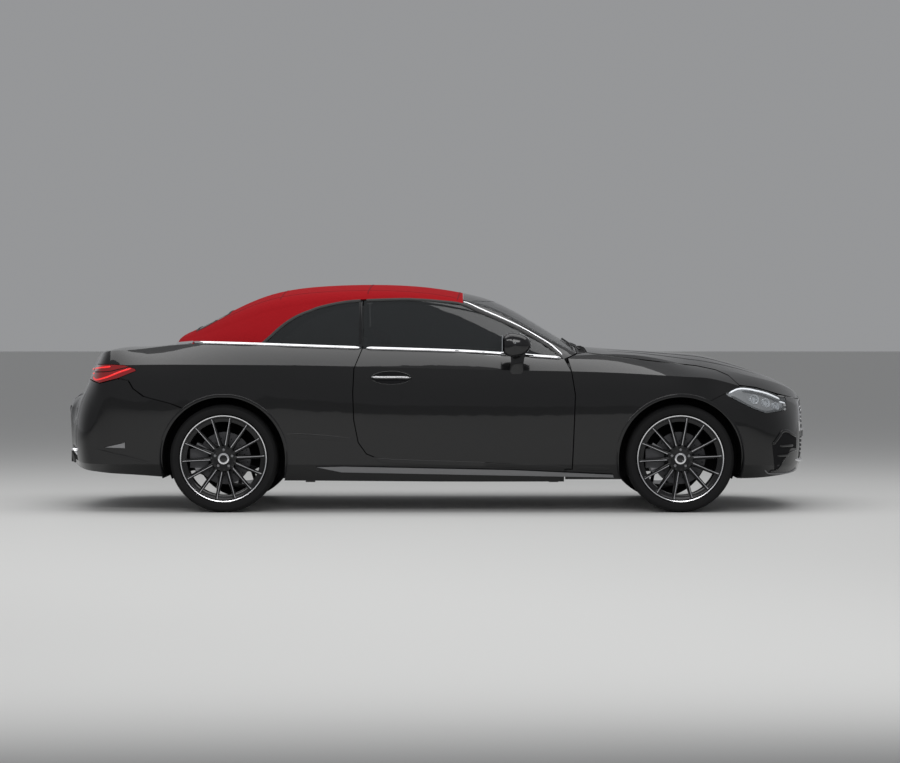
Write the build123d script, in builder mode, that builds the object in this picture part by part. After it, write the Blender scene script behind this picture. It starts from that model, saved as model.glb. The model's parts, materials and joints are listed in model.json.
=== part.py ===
"""A two-door convertible car with its soft top closed.

Frame: millimetres, +X forward, +Y to the car's left, +Z up, origin on the ground under the middle of the car.
The outer body and the glasshouse are each one form, lofted through the sections in the two tables below.
Every panel is cut from those forms, so the shut lines of neighbours always meet.
"""
from build123d import *
import math
import os
from collections import namedtuple

os.makedirs("parts", exist_ok=True)

# ---------------------------------------------------------------- driving sizes
wheelbase = 2865
front_overhang = 876
rear_overhang = 1069
half_width = 930
track = 1590

tyre_radius = 338
tyre_width = 245
rim_radius = 272
rim_width = 222
spoke_count = 14
arch_radius = 392
well_radius = 402
well_inner_y = 480

shut_gap = 6
hinge_gap = 7
skin = 6
door_flange = 3
jamb_step = 22
bumper_wall = 14
lid_wall = 25
core_inset = 45
soft_top_wall = 22
glass_wall = 5
seal_gap = 8

floor_bottom = 190
floor_wall = 50
cabin_floor = floor_bottom + floor_wall

# ---------------------------------------------------------------- places along the car
nose_x = (wheelbase + front_overhang + rear_overhang) / 2
tail_x = -nose_x
front_axle_x = nose_x - front_overhang
rear_axle_x = front_axle_x - wheelbase
axle_z = tyre_radius
cowl_x = front_axle_x - 574
header_x = front_axle_x - 1362
firewall_x = front_axle_x - 659
bulkhead_x = rear_axle_x + 86
lid_front_x = rear_axle_x - 379
door_front_x = front_axle_x - 668
door_rear_x = rear_axle_x + 818
wheel_centres = {"front": front_axle_x, "rear": rear_axle_x}
wheel_y = track / 2
kingpin_y = wheel_y - 60

# ---------------------------------------------------------------- body sections
# Half of each section, from the floor up: bottom edge, sill, widest point, shoulder crease, top edge, crown.
BodySection = namedtuple(
    "BodySection", "x z_bot y_bot y_sill z_sill y_wide z_wide y_shl z_shl y_top z_top z_crown"
)
BODY_SECTIONS = [
    BodySection(tail_x + 5, 380, 60, 90, 425, 120, 490, 100, 560, 60, 610, 616),
    BodySection(tail_x + 30, 330, 160, 198, 368, 210, 470, 168, 600, 60, 672, 686),
    BodySection(tail_x + 75, 290, 430, 475, 335, 500, 480, 410, 650, 180, 715, 735),
    BodySection(tail_x + 140, 268, 620, 695, 310, 735, 520, 470, 740, 180, 850, 893),
    BodySection(tail_x + 200, 254, 690, 780, 302, 825, 560, 630, 830, 270, 950, 1003),
    BodySection(tail_x + 250, 248, 712, 805, 301, 850, 570, 765, 880, 480, 985, 1013),
    BodySection(tail_x + 305, 242, 730, 825, 300, 866, 580, 850, 908, 735, 1004, 1021),
    BodySection(rear_axle_x - 564, 230, 760, 858, 300, 903, 600, 885, 925, 745, 1022, 1042),
    BodySection(rear_axle_x, 200, 800, 885, 300, 926, 640, 915, 926, 765, 1056, 1090),
    BodySection(rear_axle_x + 636, 195, 815, 888, 300, 922, 650, 908, 920, 795, 1040, 1100),
    BodySection(front_axle_x - 1529, 190, 820, 888, 300, 920, 650, 903, 902, 800, 1016, 1090),
    BodySection(front_axle_x - 829, 190, 820, 888, 300, 922, 640, 905, 888, 792, 976, 1060),
    BodySection(front_axle_x - 529, 190, 815, 886, 300, 925, 640, 908, 881, 740, 990, 1037),
    BodySection(front_axle_x, 200, 800, 882, 300, half_width, 620, 905, 853, 690, 938, 1003),
    BodySection(front_axle_x + 321, 210, 770, 862, 300, 902, 600, 866, 808, 640, 886, 952),
    BodySection(front_axle_x + 571, 215, 710, 805, 290, 842, 560, 770, 742, 575, 828, 871),
    BodySection(front_axle_x + 700, 228, 600, 690, 287, 725, 520, 625, 700, 420, 790, 818),
    BodySection(front_axle_x + 775, 240, 470, 545, 290, 575, 500, 500, 665, 290, 757, 780),
    BodySection(front_axle_x + 823, 262, 250, 300, 304, 310, 490, 280, 645, 150, 728, 751),
    BodySection(front_axle_x + 860, 300, 110, 140, 342, 150, 480, 130, 610, 90, 688, 700),
    BodySection(front_axle_x + 874, 380, 60, 90, 424, 110, 490, 95, 575, 60, 630, 638),
]

# Half of each glasshouse section: base, roof rail, crown.
CabinSection = namedtuple("CabinSection", "x y_base z_base y_rail z_rail z_crown")
CABIN_SECTIONS = [
    CabinSection(rear_axle_x - 340, 380, 1058, 280, 1085, 1103),
    CabinSection(rear_axle_x - 234, 560, 1052, 440, 1128, 1160),
    CabinSection(rear_axle_x - 9, 690, 1046, 540, 1225, 1275),
    CabinSection(rear_axle_x + 229, 750, 1040, 590, 1318, 1377),
    CabinSection(rear_axle_x + 626, 787, 1026, 612, 1383, 1439),
    CabinSection(rear_axle_x + 923, 796, 1014, 618, 1393, 1447),
    CabinSection(front_axle_x - 1578, 798, 1003, 616, 1373, 1428),
    CabinSection(front_axle_x - 1347, 795, 993, 610, 1334, 1391),
    CabinSection(front_axle_x - 1201, 792, 985, 606, 1295, 1354),
    CabinSection(front_axle_x - 917, 778, 970, 640, 1150, 1213),
    CabinSection(front_axle_x - 652, 745, 955, 680, 1005, 1052),
    CabinSection(front_axle_x - 585, 738, 950, 690, 968, 1012),
]
rail_round = 75


def section_plane(x):
    """A plane across the car, whose local x is the car's Y."""
    return Plane((x, 0, 0), x_dir=(0, 1, 0), z_dir=(1, 0, 0))


def across(point):
    """The same point on the other side of the car."""
    return (-point[0], point[1])


def body_form(inset=0):
    """The outer body below the glass, or the same form drawn in by inset, at its two ends as well."""
    with BuildPart() as form:
        for s in BODY_SECTIONS:
            share = max(0, min(1, (abs(s.x) - nose_x + 345) / 320))
            station = s.x - math.copysign(inset * share, s.x)
            bottom = (s.y_bot - inset, s.z_bot + inset)
            sill = (s.y_sill - inset, s.z_sill + inset * 0.3)
            wide = (s.y_wide - inset, s.z_wide)
            shoulder = (s.y_shl - inset, s.z_shl - inset * 0.4)
            top = (s.y_top - inset * 0.7, s.z_top - inset)
            bulge = ((shoulder[0] + top[0]) / 2 + 5, (shoulder[1] + top[1]) / 2 + 5)
            with BuildSketch(section_plane(station)):
                with BuildLine():
                    Line(across(bottom), bottom)
                    Line(bottom, sill)
                    ThreePointArc(sill, wide, shoulder)
                    ThreePointArc(shoulder, bulge, top)
                    ThreePointArc(top, (0, s.z_crown - inset), across(top))
                    ThreePointArc(across(top), across(bulge), across(shoulder))
                    ThreePointArc(across(shoulder), across(wide), across(sill))
                    Line(across(sill), across(bottom))
                make_face()
        loft()
    return form.part


def cabin_form(inset=0):
    """The glasshouse above the belt, or the same form drawn in by inset."""
    with BuildPart() as form:
        for s in CABIN_SECTIONS:
            base = Vector(s.y_base - inset, s.z_base - inset)
            rail = Vector(s.y_rail - inset * 0.8, s.z_rail - inset * 0.6)
            crown = Vector(0, s.z_crown - inset)
            side = rail + (base - rail).normalized() * min(rail_round, (base - rail).length * 0.4)
            roof = rail + (crown - rail).normalized() * min(rail_round, rail.X * 0.4)
            belly = (base + side) / 2 + Vector(s.y_base - s.y_rail, 0) * 0.06
            corner = side * 0.25 + rail * 0.5 + roof * 0.25
            half = [(p.X, p.Y) for p in (base, belly, side, corner, roof)]
            with BuildSketch(section_plane(s.x)):
                with BuildLine():
                    Line(across(half[0]), half[0])
                    ThreePointArc(half[0], half[1], half[2])
                    ThreePointArc(half[2], half[3], half[4])
                    ThreePointArc(half[4], (0, crown.Y), across(half[4]))
                    ThreePointArc(across(half[4]), across(half[3]), across(half[2]))
                    ThreePointArc(across(half[2]), across(half[1]), across(half[0]))
                make_face()
        loft()
    return form.part


def prism(plane, outline, depth, grow=0, radius=0):
    """A closed outline moved outwards by grow, with corners of the given radius, extruded from a plane."""
    with BuildPart() as block:
        with BuildSketch(plane):
            with BuildLine():
                Polyline(*outline, close=True)
            make_face()
            if grow:
                offset(amount=grow, kind=Kind.INTERSECTION)
            if radius:
                fillet(vertices(), radius)
        extrude(amount=depth)
    return block.part


def side_block(outline, low_y=-1200, high_y=1200, grow=0, radius=0):
    """A block with the given outline seen from the side, between two distances across the car."""
    return prism(Plane.XZ.offset(-high_y), outline, high_y - low_y, grow, radius)


def plan_block(outline, low_z, high_z, grow=0, radius=0):
    """A block with the given outline seen from above, between two heights."""
    return prism(Plane.XY.offset(low_z), outline, high_z - low_z, grow, radius)


def front_block(outline, low_x, high_x, grow=0, radius=0):
    """A block with the given outline seen from the front, between two stations."""
    return prism(section_plane(low_x), outline, high_x - low_x, grow, radius)


def cross_drum(x, radius, low_y, high_y, z=axle_z):
    """A drum across the car, such as a wheel well."""
    with BuildPart() as drum:
        with BuildSketch(Plane.XZ.offset(-high_y)):
            with Locations((x, z)):
                Circle(radius)
        extrude(amount=high_y - low_y)
    return drum.part


def box_between(low, high):
    """A box between two corners."""
    with BuildPart() as block:
        with Locations(tuple((a + b) / 2 for a, b in zip(low, high))):
            Box(*[b - a for a, b in zip(low, high)])
    return block.part


def cut(base, keep=(), remove=()):
    """What of base lies in every block of keep and in none of remove."""
    with BuildPart() as piece:
        add(base)
        for block in keep:
            add(block, mode=Mode.INTERSECT)
        for block in remove:
            add(block, mode=Mode.SUBTRACT)
    return piece.part


def joined(*blocks):
    """Blocks fused into one."""
    with BuildPart() as piece:
        for block in blocks:
            add(block)
    return piece.part


def save(part, name):
    """Labels a finished piece and writes its file."""
    part.label = name
    export_step(part, f"parts/{name}.step")


# ---------------------------------------------------------------- outlines seen from the side
x0 = front_axle_x
r0 = rear_axle_x
belt_line = [
    (r0 - 239, 1060), (r0 + 230, 1048), (r0 + 787, 1028),
    (x0 - 1445, 1008), (x0 - 1129, 990), (x0 - 727, 962),
]


def belt_z(x):
    """Height of the belt, the line where glass and soft top meet the body."""
    for (xa, za), (xb, zb) in zip(belt_line, belt_line[1:]):
        if x <= xb or xb == belt_line[-1][0]:
            return za + (zb - za) * (x - xa) / (xb - xa)


above_belt = belt_line + [(x0 - 640, 1000), (x0 - 640, 1600), (r0 - 340, 1600), (r0 - 340, 1063)]
door_outline = [
    (door_rear_x + 52, belt_z(door_rear_x + 52)), (door_rear_x + 3, 900), (door_rear_x - 4, 750),
    (door_rear_x + 2, 581), (door_rear_x + 30, 440), (door_rear_x + 80, 370), (door_rear_x + 195, 324),
    (door_front_x - 13, 274), (door_front_x - 3, 525), (door_front_x + 5, 737), (door_front_x - 18, 882),
    belt_line[5], belt_line[4], belt_line[3],
]
fender_line = [
    (cowl_x + 2, 1004), (x0 - 454, 988), (x0 - 194, 956), (x0 + 119, 922), (x0 + 240, 897), (x0 + 315, 862),
    (x0 + 372, 800), (x0 + 481, 787), (x0 + 631, 744), (x0 + 761, 714), (nose_x + 20, 690),
]
lamp_tip = (x0 + 281, 745)
headlamp_outline = [
    lamp_tip, (x0 + 372, 790), (x0 + 481, 779), (x0 + 561, 758), (x0 + 692, 712), (x0 + 689, 640),
    (x0 + 600, 628), (x0 + 540, 622), (x0 + 450, 655), (x0 + 360, 698),
]
front_bumper_line = [
    (x0 + 190, 700), (lamp_tip[0], lamp_tip[1]), (x0 + 372, 750), (x0 + 481, 740), (x0 + 631, 700),
    (x0 + 680, 712), (x0 + 700, 724), (x0 + 761, 708), (nose_x + 20, 684), (nose_x + 20, 100),
    (x0 + 190, 100),
]
tail_lamp_outline = [
    (tail_x + 60, 850), (r0 - 854, 832), (r0 - 784, 813), (r0 - 665, 843), (r0 - 550, 889), (r0 - 556, 900),
    (r0 - 621, 922), (r0 - 696, 926), (r0 - 804, 926), (tail_x + 60, 926),
]
rear_bumper_line = [
    (r0 - 230, 640), (r0 - 331, 681), (r0 - 506, 727), (r0 - 570, 775), (r0 - 600, 826), (r0 - 665, 835),
    (r0 - 784, 806), (r0 - 854, 825), (tail_x + 60, 843), (tail_x - 20, 843), (tail_x - 20, 100),
    (r0 - 230, 100),
]
lid_low_z = 745
glass_outline = [
    (r0 + 230, belt_z(r0 + 230)), (r0 + 280, 1101), (r0 + 344, 1161), (r0 + 407, 1208), (r0 + 470, 1243),
    (r0 + 534, 1268), (r0 + 597, 1291), (r0 + 724, 1319), (r0 + 850, 1332), (r0 + 1103, 1341),
    (r0 + 1230, 1338), (x0 - 1509, 1329), (x0 - 1369, 1311), (x0 - 1255, 1261), (x0 - 1129, 1207),
    (x0 - 1002, 1147), (x0 - 875, 1074), (x0 - 812, 1033), (x0 - 740, belt_z(x0 - 740)),
    (x0 - 1129, belt_z(x0 - 1129)), (x0 - 1445, belt_z(x0 - 1445)), (r0 + 787, belt_z(r0 + 787)),
]
cabin_half = [(775, cabin_floor), (770, 700), (700, 1200)]
cabin_section = cabin_half + [across(p) for p in reversed(cabin_half)]
rear_cabin_half = 450
boot_half = 440
boot_floor = 420
bay_half = 430
bay_floor = floor_bottom + 100

# ---------------------------------------------------------------- shared forms and cutters
outer = body_form()
flange_core = body_form(door_flange)
skin_core = body_form(skin)
bumper_core = body_form(bumper_wall)
lid_core = body_form(lid_wall)
core = body_form(core_inset)
house = cabin_form()
house_lining = cabin_form(soft_top_wall)
house_glass = cabin_form(glass_wall)

cabin_block = joined(
    front_block(cabin_section, r0 + 436, firewall_x),
    box_between((bulkhead_x, -rear_cabin_half, 300), (r0 + 440, rear_cabin_half, 1200)),
)
arches = joined(*[cross_drum(x, arch_radius, -1200, 1200) for x in wheel_centres.values()])
wells = joined(*[
    cross_drum(x, well_radius, low, high)
    for x in wheel_centres.values()
    for low, high in ((-1200, -well_inner_y), (well_inner_y, 1200))
])


def both_sides(part):
    """A piece with its mirror image across the car, as two solids."""
    with BuildPart() as pair:
        add(part)
        mirror(about=Plane.XZ)
    return pair.part


def left_of(part):
    """The mirror image, on the car's left."""
    return mirror(part, about=Plane.XZ)


# ---------------------------------------------------------------- doors
door_ring = cut(side_block(door_outline, grow=20), remove=[side_block(door_outline, grow=-jamb_step)])


def make_door():
    """The right door: a thin flange all round its skin, and the thick inner panel set back from the jamb."""
    return cut(
        outer,
        keep=[side_block(door_outline, -1200, 0)],
        remove=[cut(flange_core, keep=[door_ring]), cabin_block],
    )


door_right = make_door()
save(door_right, "door_right")
save(left_of(door_right), "door_left")
door_opening = side_block(door_outline, grow=shut_gap)

# ---------------------------------------------------------------- bonnet and front wings
bonnet_outline = fender_line + [(nose_x + 20, 1200), (cowl_x + 2, 1200)]
bonnet = cut(outer, keep=[side_block(bonnet_outline)], remove=[lid_core])
save(bonnet, "bonnet")

wing_outline = (
    [(x0 - 720, 205), (x0 - 720, 264), (door_front_x - 13 + hinge_gap, 266),
     (door_front_x - 3 + hinge_gap, 525), (door_front_x + 5 + hinge_gap, 737),
     (door_front_x - 18 + hinge_gap, 882), (x0 - 700, 966), (x0 - 640, 992), (cowl_x - 30, 998)]
    + [(x, z - shut_gap) for x, z in fender_line[:7]]
    + [(lamp_tip[0] - shut_gap, lamp_tip[1]), (x0 + 190 - shut_gap, 700), (x0 + 190 - shut_gap, 205)]
)
wings = cut(
    outer,
    keep=[side_block(wing_outline)],
    remove=[
        skin_core, arches, side_block(headlamp_outline, grow=shut_gap / 2),
        box_between((0, -600, 0), (3000, 600, 2000)),
    ],
)
save(wings, "front_wings")

# ---------------------------------------------------------------- bumpers
grille_half = [(120, 690), (390, 672), (430, 560), (380, 505)]
grille_outline = grille_half + [across(p) for p in reversed(grille_half)]
intake_half = [(430, 452), (520, 330), (480, 318)]
intake_outline = intake_half + [across(p) for p in reversed(intake_half)]
tow_spot = (-300, 478)
with BuildPart() as tow_cover:
    with BuildSketch(section_plane(x0 + 640)):
        with Locations(tow_spot):
            Circle(16)
    extrude(amount=400)
front_bumper = cut(
    outer,
    keep=[side_block(front_bumper_line)],
    remove=[
        bumper_core, arches, side_block(headlamp_outline, grow=shut_gap / 2),
        front_block(grille_outline, 2000, 2600), front_block(intake_outline, 2000, 2600), tow_cover.part,
    ],
)
save(front_bumper, "front_bumper")

tip_x = tail_x + 80
tip_half = [(500, 322), (650, 322), (650, 396), (500, 396)]
lid_half = [(lid_front_x, 660), (r0 - 700, 640), (tail_x + 150, 550), (tail_x - 20, 550)]
lid_plan = lid_half + [(x, -y) for x, y in reversed(lid_half)]
lid_hole = plan_block(lid_plan, lid_low_z - shut_gap, 1300, grow=shut_gap)
rear_bumper = cut(
    outer,
    keep=[side_block(rear_bumper_line)],
    remove=[bumper_core, arches, lid_hole] + [
        front_block([(side * y, z) for y, z in tip_half], tail_x - 50, tail_x + 250, grow=4)
        for side in (1, -1)
    ],
)
save(rear_bumper, "rear_bumper")

# ---------------------------------------------------------------- lamps
headlamps = cut(
    outer, keep=[side_block(headlamp_outline)], remove=[core, box_between((0, -420, 0), (3000, 420, 2000))]
)
save(headlamps, "headlamps")
tail_lamps = cut(
    outer, keep=[side_block(tail_lamp_outline)],
    remove=[core, box_between((-3000, -560, 0), (0, 560, 2000)), lid_hole],
)
save(tail_lamps, "tail_lamps")

# ---------------------------------------------------------------- boot lid
boot_lid = cut(outer, keep=[plan_block(lid_plan, lid_low_z, 1300)], remove=[lid_core])
save(boot_lid, "boot_lid")

# ---------------------------------------------------------------- fixed body
post_x = x0 - 727
glasshouse_space = side_block(above_belt)
rear_end = cut(
    core,
    keep=[box_between((-3000, -1300, 0), (r0 - 225, 1300, 2000))],
    remove=[
        box_between((tail_x + 190, -boot_half, boot_floor), (0, boot_half, 990)), wells,
        box_between((r0 - 240, -392, 100), (0, 392, 300)),
        box_between((tail_x, -160, 690), (tail_x + 110, 160, 800)),
    ],
)
quarter_outline = [
    (r0 - 230 + shut_gap, 100), (r0 - 230 + shut_gap, 646), (r0 - 331, 687), (r0 - 500, 733), (r0 - 563, 779),
    (r0 - 593, 830), (r0 - 660, 844), (r0 - 700, 870), (r0 - 770, 930), (tail_x - 20, 930),
    (tail_x - 20, 1300), (r0 + 440, 1300), (r0 + 440, 100),
]
quarters = cut(
    outer,
    keep=[side_block(quarter_outline)],
    remove=[
        cabin_block, door_opening, wells, arches, glasshouse_space, lid_hole,
        side_block(tail_lamp_outline, grow=shut_gap / 2),
        box_between((-3000, -boot_half, boot_floor), (bulkhead_x - 50, boot_half, 990)),
        box_between((r0 - 224, -392, 100), (r0 + 80, 392, 300)),
    ],
)
rear_body = joined(quarters, rear_end)
save(rear_body, "rear_body")

floor = cut(
    outer,
    keep=[box_between((r0 + 440, -1300, 0), (post_x, 1300, 1200))],
    remove=[cabin_block, door_opening, glasshouse_space],
)
pads = [
    box_between((x - 30, y - 30, 182), (x + 30, y + 30, 205))
    for x in (r0 + 536, x0 - 789) for y in (-700, 700)
]
save(joined(floor, *pads), "floor_and_sills")

bay_block = box_between((firewall_x + 70, -bay_half, bay_floor), (x0 + 620, bay_half, 1200))
front_structure = cut(
    core,
    keep=[box_between((post_x, -1300, 0), (x0 + 660, 1300, 2000))],
    remove=[bay_block, wells, cabin_block, door_opening, glasshouse_space],
)
with BuildPart() as tow_hole:
    with BuildSketch(section_plane(x0 + 600)):
        with Locations(tow_spot):
            Circle(9)
    extrude(amount=400)
front_structure = cut(front_structure, remove=[tow_hole.part])
save(front_structure, "front_structure")
cowl = cut(
    outer, keep=[box_between((x0 - 640 + 3, -700, 900), (cowl_x - shut_gap, 700, 1200))],
    remove=[core, side_block(wing_outline, grow=3)],
)
save(cowl, "cowl")

# ---------------------------------------------------------------- glasshouse
frame_outline = [
    (header_x + 5, 1500), (header_x + 5, 1316), (x0 - 1250, 1269), (x0 - 1125, 1215), (x0 - 998, 1155),
    (x0 - 870, 1082), (x0 - 806, 1041), (x0 - 727, 962), (x0 - 640, 1000), (x0 - 640, 1500),
]
glass_half = [(655, 1000), (575, 1332)]
screen_outline = glass_half + [across(p) for p in reversed(glass_half)]
screen_space = front_block(screen_outline, header_x + 60, x0, grow=2)
windscreen_frame = cut(house, keep=[side_block(frame_outline)], remove=[cabin_form(38), screen_space])
save(windscreen_frame, "windscreen_frame")
windscreen = cut(
    house, keep=[front_block(screen_outline, header_x + 60, x0), glasshouse_space], remove=[house_glass]
)
save(windscreen, "windscreen")

rear_light_outline = [(r0 - 215, -400), (r0 - 215, 400), (r0 - 10, 360), (r0 - 10, -360)]
roof_space = cut(glasshouse_space, keep=[box_between((-3000, -1300, 900), (header_x, 1300, 2000))])
soft_top = cut(
    house,
    keep=[roof_space],
    remove=[
        house_lining, side_block(glass_outline, grow=seal_gap),
        plan_block(rear_light_outline, 1000, 1500, grow=3),
    ],
)
save(soft_top, "soft_top")
rear_window = cut(
    house, keep=[plan_block(rear_light_outline, 1000, 1500), glasshouse_space], remove=[house_glass]
)
save(rear_window, "rear_window")

split_x = door_rear_x + 52
side_glass = cut(house, keep=[side_block(glass_outline, -1200, 0), glasshouse_space], remove=[house_glass])
door_glass = cut(side_glass, keep=[box_between((split_x + 3, -1300, 0), (3000, 0, 2000))])
save(door_glass, "door_glass_right")
save(left_of(door_glass), "door_glass_left")
quarter_glass = cut(side_glass, keep=[box_between((-3000, -1300, 0), (split_x - 3, 0, 2000))])
save(both_sides(quarter_glass), "quarter_glasses")

# ---------------------------------------------------------------- trim
skirt_outline = [
    (r0 + 582, 283), (r0 + 740, 287), (x0 - 1049, 264), (x0 - 420, 234), (x0 - 415, 216), (x0 - 500, 218),
    (r0 + 740, 250),
]
skirts = cut(
    body_form(-6),
    keep=[side_block(skirt_outline)],
    remove=[outer, box_between((-3000, -700, 0), (3000, 700, 2000))],
)
save(skirts, "side_skirts")

def slots(half_width, low_z, high_z):
    """The openings between the slats of a grille."""
    return [
        front_block(
            [(-half_width, z), (half_width, z), (half_width, z + 14), (-half_width, z + 14)], 2000, 2600
        )
        for z in range(low_z, high_z, 28)
    ]


grille = cut(
    body_form(6),
    keep=[front_block(grille_outline, 2000, 2600, grow=-3)],
    remove=[body_form(40)] + slots(360, 530, 670),
)
save(grille, "grille")
intake = cut(
    body_form(6),
    keep=[front_block(intake_outline, 2000, 2600, grow=-3)],
    remove=[body_form(36)] + slots(430, 345, 440),
)
save(intake, "lower_intake")

# ---------------------------------------------------------------- mirrors
with BuildPart() as mirror_head:
    with Locations((x0 - 1029, -938, 1056)):
        Box(200, 160, 156)
    fillet(mirror_head.edges(), 40)
foot_outline = [(-930, 870), (-860, 870), (-800, 960), (-850, 1000), (-930, 1000)]
mirror_foot = cut(front_block(foot_outline, x0 - 1060, x0 - 960), remove=[outer])
mirror_right = cut(joined(mirror_head.part, mirror_foot), remove=[outer, door_right])
save(mirror_right, "mirror_right")
save(left_of(mirror_right), "mirror_left")

# ---------------------------------------------------------------- cabin
seat_y = 370
seat_side = [(-250, cabin_floor), (330, cabin_floor), (360, 470), (-60, 440), (-330, 1040), (-440, 1010)]
head_side = [(-335, 1020), (-400, 1180), (-470, 1170), (-432, 1000)]
seats = []
for side in (-1, 1):
    squab = side_block(seat_side, side * seat_y - 240, side * seat_y + 240)
    rest = side_block(head_side, side * seat_y - 120, side * seat_y + 120)
    seats.append(joined(squab, rest))
front_seats = joined(*seats)
save(front_seats, "front_seats")
bench_side = [
    (bulkhead_x, 300), (r0 + 620, 300), (r0 + 640, 500), (r0 + 330, 470), (r0 + 190, 940), (r0 + 100, 940),
]
rear_seat = side_block(bench_side, -rear_cabin_half, rear_cabin_half)
save(rear_seat, "rear_seat")

wheel_spot = (x0 - 1180, seat_y, 800)
column_tilt = 25
column_plane = Plane(wheel_spot, x_dir=(0, 1, 0), z_dir=(
    math.cos(math.radians(column_tilt)), 0, -math.sin(math.radians(column_tilt))))
with BuildPart() as steering_wheel:
    with BuildSketch(Plane(column_plane.origin, x_dir=column_plane.x_dir, z_dir=column_plane.y_dir)):
        with Locations((172, 0)):
            Circle(15)
    revolve(axis=Axis(column_plane.origin, column_plane.z_dir))
    with BuildSketch(column_plane.offset(-8)):
        Circle(62)
        for turn in (90, 210, 330):
            with Locations(Rotation(0, 0, turn)):
                with Locations((85, 0)):
                    Rectangle(170, 34)
    extrude(amount=18)
    with BuildSketch(column_plane.offset(0)):
        Circle(24)
    extrude(amount=300)
save(steering_wheel.part, "steering_wheel")
with BuildPart() as column_bore:
    with BuildSketch(column_plane.offset(150)):
        Circle(30)
    extrude(amount=300)

dash_side = [
    (x0 - 980, 640), (x0 - 700, 640), (firewall_x, 700), (firewall_x, 930), (x0 - 800, 940), (x0 - 960, 905),
]
dashboard = cut(side_block(dash_side, -690, 690), remove=[column_bore.part])
save(dashboard, "dashboard")
console_side = [
    (r0 + 800, cabin_floor), (x0 - 700, cabin_floor), (x0 - 700, 640), (x0 - 900, 640), (x0 - 1100, 520),
    (r0 + 900, 500), (r0 + 800, 470),
]
save(side_block(console_side, -110, 110), "centre_console")

# ---------------------------------------------------------------- engine and running gear
with BuildPart() as engine:
    with Locations((x0 - 60, 0, bay_floor + 225)):
        Box(620, 420, 450)
    with Locations((x0 - 60, 0, bay_floor + 490)):
        Box(520, 340, 80)
save(engine.part, "engine")


def wheel_place(x, side):
    """The plane of a wheel: its z runs outboard along the axle."""
    return Plane((x, side * wheel_y, axle_z), x_dir=(1, 0, 0), z_dir=(0, side, 0))


tyre_half = tyre_width / 2
tyre_profile = [
    (255, -101), (255, 101), (rim_radius, 101), (280, 116), (300, tyre_half), (322, 118), (tyre_radius, 96),
    (tyre_radius, -96), (322, -118), (300, -tyre_half), (280, -116), (rim_radius, -101),
]
rim_half = rim_width / 2
barrel_profile = [
    (240, -rim_half), (240, rim_half), (rim_radius, rim_half), (rim_radius, 102), (254, 102), (254, -102),
    (rim_radius, -102), (rim_radius, -rim_half),
]
spoke_side = [(60, 62), (60, 90), (120, 96), (243, 106), (243, 84), (120, 68)]
disc_profile = [(40, 40), (40, 61), (82, 61), (82, 14), (165, 14), (165, -12), (70, -12), (70, 40)]


def turned(place, profile):
    """A ring with the given (radius, offset) profile about the z axis of a plane."""
    with BuildPart() as ring:
        with BuildSketch(Plane(place.origin, x_dir=place.x_dir, z_dir=-place.y_dir)):
            with BuildLine():
                Polyline(*profile, close=True)
            make_face()
        revolve(axis=Axis(place.origin, place.z_dir))
    return ring.part


def make_rim(place):
    """The rim: a barrel, a hub with five bolts, and thin spokes."""
    with BuildPart() as rim:
        add(turned(place, barrel_profile))
        with BuildSketch(place.offset(62)):
            Circle(84)
        extrude(amount=26)
        for index in range(spoke_count):
            turn = 3 + index * 360 / spoke_count
            along = place.x_dir.rotate(Axis((0, 0, 0), place.z_dir), turn)
            over = place.z_dir.cross(along)
            with BuildSketch(Plane(place.origin, x_dir=along, z_dir=-over).offset(-7)):
                with BuildLine():
                    Polyline(*spoke_side, close=True)
                make_face()
            extrude(amount=14)
        with BuildSketch(place.offset(86)):
            with PolarLocations(56, 5):
                Circle(11)
        extrude(amount=12)
        with BuildSketch(place.offset(86)):
            Circle(34)
        extrude(amount=14)
        with BuildSketch(place):
            Circle(22.4)
        extrude(amount=64, mode=Mode.SUBTRACT)
    return rim.part


def make_knuckle(x, side, steered):
    """The knuckle with its spindle and brake caliper; a steered one also has its kingpins."""
    place = wheel_place(x, side)

    def across_box(x_low, x_high, inner, reach, z_half):
        low_y, high_y = sorted((side * (wheel_y + inner), side * (wheel_y + reach)))
        return box_between((x + x_low, low_y, axle_z - z_half), (x + x_high, high_y, axle_z + z_half))

    with BuildPart() as knuckle:
        add(across_box(-40, 40, -85, -30, 110))
        add(across_box(-215, 0, -50, -20, 30))
        add(across_box(-215, -100, -50, 48, 60))
        with BuildSketch(place):
            Circle(172)
            Circle(34, mode=Mode.SUBTRACT)
        extrude(amount=60, mode=Mode.SUBTRACT)
        with BuildSketch(place.offset(-19)):
            Circle(172)
            Circle(34, mode=Mode.SUBTRACT)
        extrude(amount=39, mode=Mode.SUBTRACT)
        add(across_box(-215, -100, 22, 48, 60))
        add(across_box(-215, -172, -50, 48, 60))
        with BuildSketch(place.offset(-32)):
            Circle(22)
        extrude(amount=88)
        if steered:
            with BuildSketch(Plane.XY.offset(axle_z - 146)):
                with Locations((x, side * kingpin_y)):
                    Circle(12)
            extrude(amount=292)
    return knuckle.part


side_names = {"right": -1, "left": 1}
for end, x in wheel_centres.items():
    for name, side in side_names.items():
        place = wheel_place(x, side)
        save(turned(place, tyre_profile), f"tyre_{end}_{name}")
        save(make_rim(place), f"rim_{end}_{name}")
        save(turned(place, disc_profile), f"brake_disc_{end}_{name}")
for name, side in side_names.items():
    save(make_knuckle(x0, side, True), f"knuckle_front_{name}")

rear_arms = box_between((r0 - 40, -wheel_y + 85, 300), (r0 + 40, wheel_y - 85, 376))
rear_axle = cut(
    joined(rear_arms, make_knuckle(r0, 1, False), make_knuckle(r0, -1, False)),
    remove=[box_between((r0 - 41, -well_inner_y, 299), (r0 + 41, well_inner_y, 377))],
)
save(rear_axle, "rear_axle")

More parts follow.
